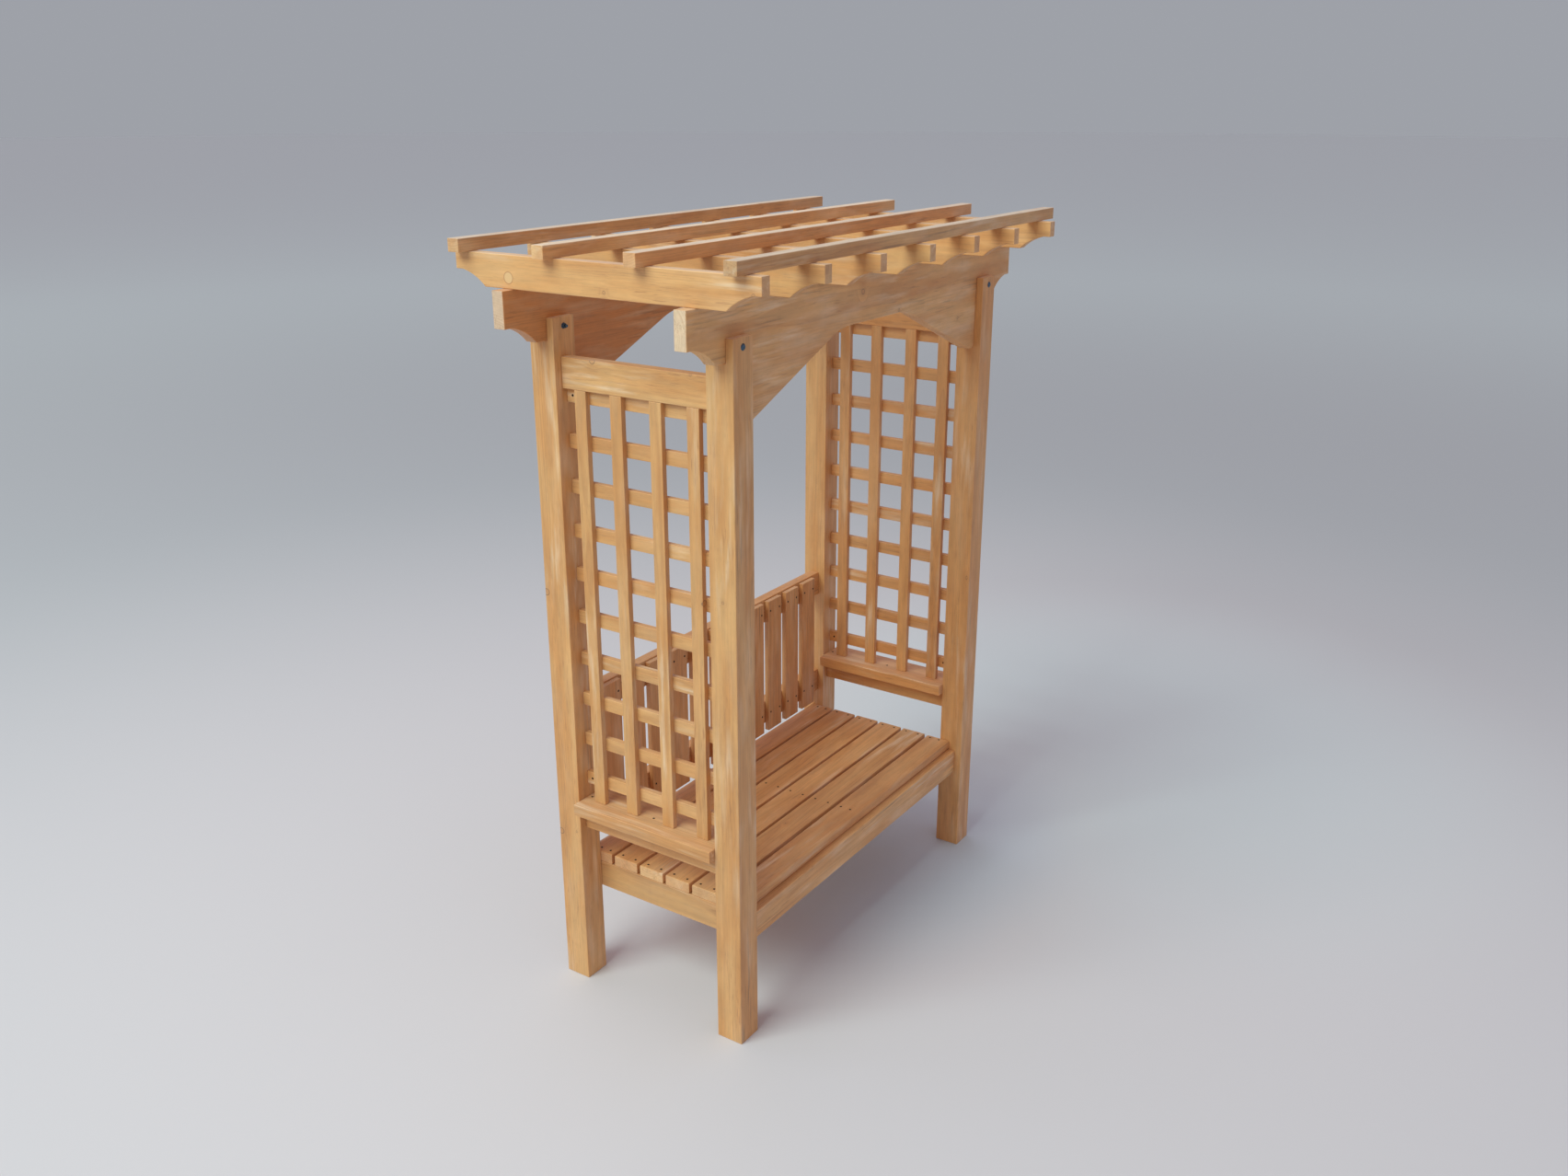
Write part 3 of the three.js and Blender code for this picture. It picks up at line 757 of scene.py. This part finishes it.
def timber_finish(name, tone, top_highlight=0.0, pale_ends=0.15):
    """Clear stained softwood: rings, streaks, pores, flecks, pale bloom, knots, a plug and painted
    highlights.

    tone scales the lightness. bleach is how far the upper faces are paled, which is a
    highlight painted as if lit from above, and pale_ends is how far the sawn ends have paled.
    """
    timber = bpy.context.scene.arbour_timber
    constants = {
        "Coat Weight": 0.10,
        "Coat Roughness": 0.40,
        "Specular IOR Level": 1.0,
        "Sheen Weight": 0.15,
        "Sheen Roughness": 0.5,
    }
    material, graph, shader = new_finish(name, **constants)
    place = graph.attribute("grain_place", "Vector")
    end_grain = graph.attribute("end_grain")
    open_side = graph.attribute("open_side")

    # The figure: each noise has its scale along the grain and across it.
    heart, rim, surround = knot_parts(graph, place)
    plug_face, plug_joint = plug_parts(graph)
    late = growth_rings(graph, place, surround, timber)
    mottle = graph.noise(place, (2.4, 15, 15), 3.0)
    cloud = graph.noise(place, (7.0, 38, 38), 3.0)
    smudge = graph.noise(place, (22, 48, 48), 2.0)
    streak = graph.noise(place, (4.0, 95, 95), 3.0)
    fibre = graph.noise(place, (13, 620, 620), 2.0)
    pores = patches(graph, place, (34, 1300, 1300), 0.0, 0.66, 0.74)
    clusters = patches(graph, place, (2.6, 13, 13), 1.0, 0.46, 0.62)
    flecks = graph.times(patches(graph, place, (15, 210, 210), 2.0, 0.58, 0.70), clusters)
    checks = patches(graph, place, (5.0, 100, 100), 3.0, 0.55, 0.67)
    checks = graph.times(checks, patches(graph, place, (1.9, 10, 10), 1.0, 0.47, 0.62))
    checks = graph.times(checks, graph.times_plus(open_side, 0.34, 0.12))
    haze = patches(graph, place, (5.0, 23, 23), 2.0, 0.50, 0.74)
    haze = graph.times(haze, graph.times_plus(open_side, 0.26, 0.12))
    smears = patches(graph, place, (1.6, 9, 9), 1.0, 0.50, 0.64)
    bloom = graph.times(patches(graph, place, (4.6, 52, 52), 4.0, 0.50, 0.68), smears)

    # The colour, before its lightness.
    warmth = graph.rise(mottle, 0.38, 0.62)
    # Upper faces paled as a painted highlight, and sawn ends paled.
    highlight_and_pale_end_share = graph.pile(0.0, (graph.attribute("sky_side"), top_highlight), (end_grain, pale_ends))
    strength = graph.ramp(graph.noise(place, (1.1, 8, 8), 1.0), (0.32, 0.25), (0.68, 1.0))
    line = graph.times(graph.times(late, strength), timber.late_share)
    body = graph.cover(
        timber.pale,
        (warmth, timber.warm),
        # Deep stain, which is painted shade on boards in shade.
        (graph.attribute("board_stain"), timber.stain_and_shade),
        # Painted highlight on the upper faces, and paler sawn ends.
        (highlight_and_pale_end_share, timber.highlight_and_pale_end_colour),
        (line, timber.late),
        (graph.times(flecks, timber.fleck_share), timber.late),
        (checks, timber.weathered),
        (haze, timber.bloom),
        (graph.times(bloom, timber.bloom_share), timber.bloom),
    )

    # The lightness is about 1 for a tone of 1, as the layers add a half on average.
    shade = graph.pile(
        0.69 * tone - 0.20,
        # Board tone, partly painted light and shade.
        (graph.attribute("board_tone"), 0.24),
        (cloud, 0.36),
        (smudge, 0.14),
        (streak, 0.16),
        (fibre, 0.14),
        (pores, -0.16),
        # Arrises lighter: a painted highlight, besides their wear.
        (graph.attribute("arris_highlight_and_wear"), 0.07),
        (end_grain, -0.04),
    )
    grey = graph.add("ShaderNodeCombineColor", {0: shade, 1: shade, 2: shade}).outputs[0]
    body = graph.blend(1.0, body, grey, mode="MULTIPLY")
    body = graph.cover(
        body,
        (graph.times(surround, 0.16), timber.late),
        (heart, timber.late),
        (graph.times(rim, 0.7), timber.knot),
        (plug_face, timber.plug),
        (graph.times(plug_joint, 0.75), timber.late),
    )

    spread = 0.22
    sheen = graph.pile(timber.roughness - spread / 2, (mottle, spread), (end_grain, 0.16))
    height = graph.pile(
        0.0, (late, 0.30), (fibre, 0.30), (streak, 0.30), (pores, -0.30), (rim, -0.50), (plug_joint, -0.60)
    )
    bump = graph.bump(height, 0.5, timber.relief)
    graph.feed(shader, {"Base Color": body, "Roughness": sheen, "Normal": bump})
    return material


def metal_finish(name, bright, dull, roughness):
    """Coated steel: two tones in fine clouds, with a faint pitting."""
    material, graph, shader = new_finish(name, Metallic=0.85)
    place = graph.coordinates("Object")
    clouds = graph.noise(place, (260, 260, 260), 3.0)
    pits = graph.noise(place, (1900, 1900, 1900), 2.0)
    body = graph.blend(graph.rise(clouds, 0.35, 0.65), bright, dull)
    spread = 0.35
    rough = graph.pile(roughness - spread / 2, (clouds, spread))
    bump = graph.bump(pits, 0.3, PIT_DEPTH)
    graph.feed(shader, {"Base Color": body, "Roughness": rough, "Normal": bump})
    return material


# Operators


class ARBOUR_OT_posts(Operator):
    """Four square posts with a bridle slot in each head"""

    bl_idname = "arbour.posts"
    bl_label = "Posts"

    def execute(self, context):
        boards = context.scene.arbour_boards
        finish = timber_finish("post_timber", tone=1.0)
        for row in ROWS:
            beam_low, beam_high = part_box(f"beam_{row}")
            slot = (beam_low.y - boards.seat_gap, beam_high.y + boards.seat_gap)
            for side in SIDES:
                node = f"post_{row}_{side}"
                low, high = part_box(node)
                outline = np.array([
                    (low.y, low.z),
                    (high.y, low.z),
                    (high.y, high.z),
                    (slot[1], high.z),
                    (slot[1], boards.shoulder_height),
                    (slot[0], boards.shoulder_height),
                    (slot[0], high.z),
                    (low.y, high.z),
                ])
                shaped_board(node, outline, (Y, Z, X), boards.arris, Z, finish)
        return {"FINISHED"}


class ARBOUR_OT_beams(Operator):
    """Two beams, arched between the posts and scroll cut at both ends"""

    bl_idname = "arbour.beams"
    bl_label = "Beams"

    def execute(self, context):
        boards = context.scene.arbour_boards
        # The upper faces get a painted highlight.
        finish = timber_finish("beam_timber", tone=0.97, top_highlight=0.2, pale_ends=0.6)
        inner_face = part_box("post_front_right")[0].x - boards.seat_gap
        bearing = boards.shoulder_height + boards.seat_gap
        crown = boards.shoulder_height + boards.arch_crown_rise
        foot_start = inner_face - boards.arch_foot_flat
        for node in named("beam_"):
            low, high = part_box(node)
            slope = (crown - low.z) / (foot_start - boards.arch_crown_half_width)
            t = np.linspace(0, 1, boards.cove_steps + 1)[:, None]
            crown_end = np.array([boards.arch_crown_half_width - boards.arch_crown_ease, crown])
            knee = np.array([boards.arch_crown_half_width, crown])
            slope_end = knee + boards.arch_crown_ease * np.array([1, -slope])
            curve = (1 - t) ** 2 * crown_end + 2 * t * (1 - t) * knee + t**2 * slope_end
            foot = np.array([(foot_start, low.z), (inner_face, low.z), (inner_face, bearing)])
            end = scroll_end(
                (high.x, high.z),
                bearing,
                boards.beam_end_depth,
                boards.beam_end_flat,
                boards.beam_cove_run,
                boards.beam_cove_radius,
            )
            outline = mirrored_outline(np.concatenate([curve, foot, end]), high.z, 0)
            shaped_board(node, outline, (X, Z, Y), boards.arris, X, finish)
        return {"FINISHED"}


class ARBOUR_OT_rafters(Operator):
    """Rafters on edge, scroll cut below both ends"""

    bl_idname = "arbour.rafters"
    bl_label = "Rafters"

    def execute(self, context):
        boards = context.scene.arbour_boards
        # The upper faces get a painted highlight.
        finish = timber_finish("rafter_timber", tone=1.04, top_highlight=0.3)
        for node in named("rafter_"):
            low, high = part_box(node)
            end = scroll_end(
                (high.y, high.z),
                low.z,
                boards.rafter_end_depth,
                boards.rafter_end_flat,
                boards.rafter_cove_run,
                boards.rafter_cove_radius,
            )
            outline = mirrored_outline(end, high.z, (low.y + high.y) / 2)
            shaped_board(node, outline, (Y, Z, X), boards.arris, Y, finish)
        return {"FINISHED"}


class ARBOUR_OT_purlins(Operator):
    """Square battens laid across the rafters"""

    bl_idname = "arbour.purlins"
    bl_label = "Purlins"

    def execute(self, context):
        # The upper faces get a strong painted highlight.
        finish = timber_finish("purlin_timber", tone=1.02, top_highlight=0.8)
        arris = context.scene.arbour_boards.arris
        planks(named("purlin_"), X, Y, arris, finish)
        return {"FINISHED"}


class ARBOUR_OT_side_rails(Operator):
    """Upper and lower rails and sills of the two side panels"""

    bl_idname = "arbour.side_rails"
    bl_label = "Side rails and sills"

    def execute(self, context):
        arris = context.scene.arbour_boards.arris
        rail_finish = timber_finish("side_rail_timber", tone=1.0)
        # The upper faces of the sills get a painted highlight.
        sill_finish = timber_finish("sill_timber", tone=0.96, top_highlight=0.1)
        for side in SIDES:
            rails = (f"side_top_rail_{side}", f"side_lower_rail_{side}")
            planks(rails, Y, X, arris, rail_finish)
            planks([f"side_sill_{side}"], Y, Z, arris, sill_finish)
        return {"FINISHED"}


class ARBOUR_OT_lattices(Operator):
    """Uprights and bars of the two lattices, each a slat of its own"""

    bl_idname = "arbour.lattices"
    bl_label = "Lattices"

    def execute(self, context):
        boards = context.scene.arbour_boards
        finish = timber_finish("lattice_timber", tone=1.0)
        width = boards.lattice_slat_width
        for node in named("side_lattice_"):
            low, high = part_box(node)
            middle = (low.y + high.y) / 2
            outer = (high.y - low.y) / 2 - boards.lattice_side_gap - width / 2
            inner = (boards.lattice_middle_gap + width) / 2
            split = low.x + boards.lattice_slat_thickness
            slats = []
            for number, place in enumerate((-outer, -inner, inner, outer), start=1):
                centre = middle + place
                outline = box_outline((centre - width / 2, low.z), (centre + width / 2, high.z))
                slats.append((f"{node}_upright_{number}", outline, low.x, split, Z))
            lowest = low.z + boards.lattice_bottom_gap
            bottoms = np.linspace(high.z - width, lowest, boards.lattice_bars)
            for number, bottom in enumerate(bottoms, start=1):
                outline = box_outline((low.y, bottom), (high.y, bottom + width))
                start = split - boards.lattice_let_in
                slats.append((f"{node}_bar_{number:02d}", outline, start, high.x, Y))
            for name, outline, start, end, grain in slats:
                piece = sawn_board(name, outline, (Y, Z, X), start, end, boards.thin_arris, grain, finish)
                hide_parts(node)
        return {"FINISHED"}


class ARBOUR_OT_seat_frame(Operator):
    """Aprons and bearers under the seat"""

    bl_idname = "arbour.seat_frame"
    bl_label = "Seat frame"

    def execute(self, context):
        boards = context.scene.arbour_boards
        # The aprons' tone is raised above the rest, which paints in light.
        apron_finish = timber_finish("apron_timber", tone=1.06)
        bearer_finish = timber_finish("bearer_timber", tone=1.0)
        planks(named("seat_apron_"), X, Y, boards.seat_arris, apron_finish)
        planks(SEAT_BEARERS, Y, X, boards.arris, bearer_finish)
        return {"FINISHED"}


class ARBOUR_OT_seat_slats(Operator):
    """Boards of the seat, front to back"""

    bl_idname = "arbour.seat_slats"
    bl_label = "Seat slats"

    def execute(self, context):
        boards = context.scene.arbour_boards
        # The seat's tone is raised above the rest, which paints in light.
        finish = timber_finish("seat_slat_timber", tone=1.10)
        first, *others = named("seat_slat_")
        planks([first], X, Z, boards.nosing, finish)
        planks(others, X, Z, boards.seat_arris, finish)
        return {"FINISHED"}


class ARBOUR_OT_back(Operator):
    """Two rails and the upright slats of the back"""

    bl_idname = "arbour.back"
    bl_label = "Back"

    def execute(self, context):
        boards = context.scene.arbour_boards
        rail_finish = timber_finish("back_rail_timber", tone=0.97)
        slat_finish = timber_finish("back_slat_timber", tone=0.95)
        planks(("back_top_rail", "back_bottom_rail"), X, Y, boards.arris, rail_finish)
        planks(named("back_slat_"), Z, Y, boards.thin_arris, slat_finish)
        return {"FINISHED"}


class ARBOUR_OT_bolts(Operator):
    """Finish of the bolts and nuts, whose shapes come from the frame"""

    bl_idname = "arbour.bolts"
    bl_label = "Bolts and nuts"

    def execute(self, context):
        fasteners = context.scene.arbour_fasteners
        bolt_finish = metal_finish("bolt_zinc", fasteners.zinc, fasteners.zinc_dull, roughness=0.30)
        nut_finish = metal_finish("nut_zinc", fasteners.zinc_dull, fasteners.zinc, roughness=0.42)
        for start, finish in (("bolt_", bolt_finish), ("nut_", nut_finish)):
            for node in named(start):
                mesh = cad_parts[node].data
                mesh.materials.clear()
                mesh.materials.append(finish)
        return {"FINISHED"}


def screw_heads(name, places, outward, finish):
    """Screw heads at the given places, facing outward.

    One head is a grid of rings round its axis, from the wood up to the rim, over the rounded
    crown, down into a recess whose radius is r (1 + 0.16 cos 6a) at angle a, and to its
    centre. The grid is repeated at every place by adding the place to it.
    """
    fasteners = bpy.context.scene.arbour_fasteners
    radius, rise, recess = fasteners.head_radius, fasteners.head_rise, fasteners.recess_radius
    floor = fasteners.recess_floor
    crown = len(HEAD_RINGS)
    shares = np.array(HEAD_RINGS)
    radii = np.array([*(shares[:, 0] * radius), recess, RECESS_TAPER * recess, 0.0])
    levels = np.array([*(shares[:, 1] * rise), RECESS_BRIM * rise, floor, floor])
    lobed = np.arange(len(radii)) >= crown
    angle = np.linspace(0, 2 * math.pi, fasteners.head_sides, endpoint=False)
    reach = radii[:, None] * (1 + LOBE_DEPTH * lobed[:, None] * np.cos(LOBES * angle)[None])
    side_axis = Vector(outward).orthogonal().normalized()
    up_axis = Vector(outward).cross(side_axis)
    head = (
        (reach * np.cos(angle))[..., None] * np.array(side_axis)
        + (reach * np.sin(angle))[..., None] * np.array(up_axis)
        + levels[:, None, None] * np.array(outward, float)
    )
    rings, sides = reach.shape
    pattern = ring_faces(rings, sides)
    count = head[..., 0].size
    corners = (np.asarray(places)[:, None] + head.reshape(1, count, 3)).reshape(-1, 3)
    faces = (np.arange(len(places))[:, None, None] * count + pattern[None]).reshape(-1, 4)
    piece = new_piece(name, corners, faces.tolist(), finish)
    piece.data.set_sharp_from_angle(angle=CREASE)
    # Mask of the recess, where shade is painted.
    shaded_recess = np.repeat(np.arange(rings) > crown, sides)
    write_attribute(piece.data, "shaded_recess", np.tile(shaded_recess.astype(float), len(places)))


def screw_finish():
    """Coated screw steel, darker in the recess, where shade is painted."""
    fasteners = bpy.context.scene.arbour_fasteners
    material, graph, shader = new_finish("screw_bronze", Metallic=0.7)
    place = graph.coordinates("Object")
    shaded_recess = graph.attribute("shaded_recess")
    clouds = graph.noise(place, (700, 700, 700), 2.0)
    body = graph.cover(
        fasteners.bronze,
        (graph.times(clouds, 0.6), fasteners.bronze_dull),
        # Painted shade in the recess.
        (graph.times(shaded_recess, 0.85), fasteners.recess_shade),
    )
    rough = graph.pile(0.38, (clouds, 0.2))
    graph.feed(shader, {"Base Color": body, "Roughness": rough})
    return material


class ARBOUR_OT_screws(Operator):
    """Wood screws of the seat, the back, the lattices and the sills"""

    bl_idname = "arbour.screws"
    bl_label = "Screws"

    def execute(self, context):
        boards = context.scene.arbour_boards
        fasteners = context.scene.arbour_fasteners
        finish = screw_finish()
        bearers = [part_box(node) for node in SEAT_BEARERS]
        seat_slats = named("seat_slat_")
        seat = []
        for node in seat_slats:
            low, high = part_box(node)
            front = low.y + (fasteners.outer_edge if node == seat_slats[0] else fasteners.slat_edge)
            rear = high.y - (fasteners.outer_edge if node == seat_slats[-1] else fasteners.slat_edge)
            for bearer_low, bearer_high in bearers:
                x = (bearer_low.x + bearer_high.x) / 2
                seat += [(x, front, high.z), (x, rear, high.z)]
        screw_heads("seat_screws", seat, (0, 0, 1), finish)
        back = []
        for node in named("back_slat_"):
            low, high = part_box(node)
            for z in (high.z - fasteners.back_top, low.z + fasteners.back_bottom):
                back += [(low.x + fasteners.back_edge, low.y, z), (high.x - fasteners.back_edge, low.y, z)]
        screw_heads("back_screws", back, (0, -1, 0), finish)
        panel, sill = [], []
        for side in SIDES:
            low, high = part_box(f"side_lattice_{side}")
            face = low.x + boards.lattice_slat_thickness - boards.lattice_let_in
            half = boards.lattice_slat_width / 2
            for z in (high.z - half, low.z + boards.lattice_bottom_gap + half):
                panel += [(face, low.y + fasteners.bar_end, z), (face, high.y - fasteners.bar_end, z)]
            low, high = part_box(f"side_sill_{side}")
            for y in (low.y + fasteners.sill_end, (low.y + high.y) / 2, high.y - fasteners.sill_end):
                sill.append(((low.x + high.x) / 2, y, high.z))
        screw_heads("lattice_screws", panel, (-1, 0, 0), finish)
        screw_heads("sill_screws", sill, (0, 0, 1), finish)
        return {"FINISHED"}


# Stage


def floor_finish(stage):
    """Matt floor with a painted pool of light round the seat and painted shadow tints by it.

    Each fade is a smooth step s of the distance d from its start to its end: the colours
    mix as (1 - s) inner + s outer. The painted shadow tint under the seat fades in an
    ellipse, for which y counts more than x.
    """
    material, graph, shader = new_finish("floor_paint", **{"Roughness": 0.75, "Specular IOR Level": 0.25})
    place = graph.coordinates("Object")
    distance = graph.vector("LENGTH", place)
    below = graph.vector("SUBTRACT", place, tuple(stage.under_middle))
    oval = graph.vector("LENGTH", graph.vector("MULTIPLY", below, (1, UNDER_SQUEEZE, 1)))
    aside = graph.vector("LENGTH", graph.vector("SUBTRACT", place, tuple(stage.side_middle)))
    # Painted pool of light: paler round the seat, darker further out, then the far floor.
    tone = graph.cover(
        stage.floor_light_pool,
        (graph.smooth_step(distance, stage.near_fade), stage.floor_middle),
        (graph.smooth_step(distance, stage.middle_fade), stage.floor_far),
    )
    # Painted tint of the seat's shadow beside it.
    tone = graph.blend(graph.smooth_step(aside, stage.side_fade), stage.floor_side, tone)
    # Painted shadow tint below the seat.
    tone = graph.blend(graph.smooth_step(oval, stage.under_fade), stage.floor_shadow_tint_under, tone)
    graph.feed(shader, {"Base Color": tone})
    return material


def add_floor(stage):
    """Round floor: rings of points at radius R t cubed and angle a, joined into faces."""
    radii = stage.floor_radius * np.linspace(FLOOR_CENTRE_SHARE, 1, FLOOR_RINGS) ** 3
    angle = np.linspace(0, 2 * math.pi, FLOOR_SIDES, endpoint=False)
    corners = np.zeros((len(radii), len(angle), 3))
    corners[..., X] = radii[:, None] * np.cos(angle)
    corners[..., Y] = radii[:, None] * np.sin(angle)
    faces = ring_faces(len(radii), len(angle))[:, ::-1].tolist()
    faces.append(list(range(len(angle))))
    mesh = bpy.data.meshes.new("floor")
    mesh.from_pydata(corners.reshape(-1, 3).tolist(), [], faces)
    mesh.materials.append(floor_finish(stage))
    floor = in_scene("floor", mesh)


def add_sky(stage):
    """Soft light from all round: horizon, walls, top, brighter front and a glow behind."""
    world = bpy.data.worlds.new("sky")
    bpy.context.scene.world = world
    world.use_nodes = True
    graph = Graph(world.node_tree)
    direction = graph.coordinates("Generated")
    axes = graph.add("ShaderNodeSeparateXYZ", {"Vector": direction}).outputs
    front_share = graph.rise(graph.times(axes["Y"], -1.0), 0.15, 0.60)
    walls = graph.blend(front_share, stage.sky_middle, stage.sky_front)
    toward = graph.vector("DOT_PRODUCT", direction, tuple(stage.back_way))
    tone = graph.cover(
        stage.sky_low,
        (graph.rise(axes["Z"], 0.09, 0.20), walls),
        (graph.rise(axes["Z"], 0.30, 0.70), stage.sky_top),
        (graph.rise(toward, 0.77, 0.97), stage.sky_back),
    )
    graph.feed(world.node_tree.nodes["Background"], {"Strength": stage.sky_strength, "Color": tone})


def add_key(stage):
    """Large soft box on the left, above the seat, which isn't seen itself."""
    light = bpy.data.lights.new("key", "AREA")
    light.energy = stage.key_power
    light.size = stage.key_size
    light.color = stage.key_tint
    key = in_scene("key", light)
    key.location = stage.key_place
    aim = Vector(stage.key_aim) - Vector(stage.key_place)
    key.rotation_euler = aim.to_track_quat("-Z", "Y").to_euler()
    key.visible_camera = False


def add_camera(stage):
    """Camera at the photograph's place, with its angle of view."""
    lens = bpy.data.cameras.new("camera")
    lens.lens = stage.focal_length
    lens.sensor_width = stage.sensor_width
    lens.clip_end = 2 * stage.floor_radius
    camera = in_scene("camera", lens)
    camera.location = stage.camera_place
    camera.rotation_euler = (math.pi / 2 - stage.camera_tilt, 0, -stage.camera_turn)
    bpy.context.scene.camera = camera


class ARBOUR_OT_stage(Operator):
    """Floor, light and camera"""

    bl_idname = "arbour.stage"
    bl_label = "Stage"

    def execute(self, context):
        stage = context.scene.arbour_stage
        context.scene.view_settings.view_transform = "Standard"
        add_floor(stage)
        add_sky(stage)
        add_key(stage)
        add_camera(stage)
        return {"FINISHED"}


class ARBOUR_PT_panel(Panel):
    """Lists the operators and the settings"""

    bl_label = "Arbour seat"
    bl_idname = "ARBOUR_PT_panel"
    bl_space_type = "VIEW_3D"
    bl_region_type = "UI"
    bl_category = "Arbour"

    def draw(self, context):
        for operator in OPERATORS:
            self.layout.operator(operator.bl_idname)
        for name in SETTINGS:
            group = getattr(context.scene, name)
            box = self.layout.box()
            for key in group.bl_rna.properties.keys():
                if key not in ("rna_type", "name"):
                    box.prop(group, key)


OPERATORS = (
    ARBOUR_OT_posts,
    ARBOUR_OT_beams,
    ARBOUR_OT_rafters,
    ARBOUR_OT_purlins,
    ARBOUR_OT_side_rails,
    ARBOUR_OT_lattices,
    ARBOUR_OT_seat_frame,
    ARBOUR_OT_seat_slats,
    ARBOUR_OT_back,
    ARBOUR_OT_bolts,
    ARBOUR_OT_screws,
    ARBOUR_OT_stage,
)
SETTINGS = {
    "arbour_boards": ArbourBoards,
    "arbour_timber": ArbourTimber,
    "arbour_fasteners": ArbourFasteners,
    "arbour_stage": ArbourStage,
}


def register():
    """Registers the settings, the operators and the panel."""
    for name, group in SETTINGS.items():
        bpy.utils.register_class(group)
        setattr(bpy.types.Scene, name, PointerProperty(type=group))
    for operator in OPERATORS:
        bpy.utils.register_class(operator)
    bpy.utils.register_class(ARBOUR_PT_panel)


def unregister():
    """Takes them away again."""
    bpy.utils.unregister_class(ARBOUR_PT_panel)
    for operator in reversed(OPERATORS):
        bpy.utils.unregister_class(operator)
    for name, group in SETTINGS.items():
        delattr(bpy.types.Scene, name)
        bpy.utils.unregister_class(group)


def main():
    """Builds every piece and the stage."""
    register()
    bpy.ops.arbour.posts()
    bpy.ops.arbour.beams()
    bpy.ops.arbour.rafters()
    bpy.ops.arbour.purlins()
    bpy.ops.arbour.side_rails()
    bpy.ops.arbour.lattices()
    bpy.ops.arbour.seat_frame()
    bpy.ops.arbour.seat_slats()
    bpy.ops.arbour.back()
    bpy.ops.arbour.bolts()
    bpy.ops.arbour.screws()
    bpy.ops.arbour.stage()


if __name__ == "__main__":
    main()
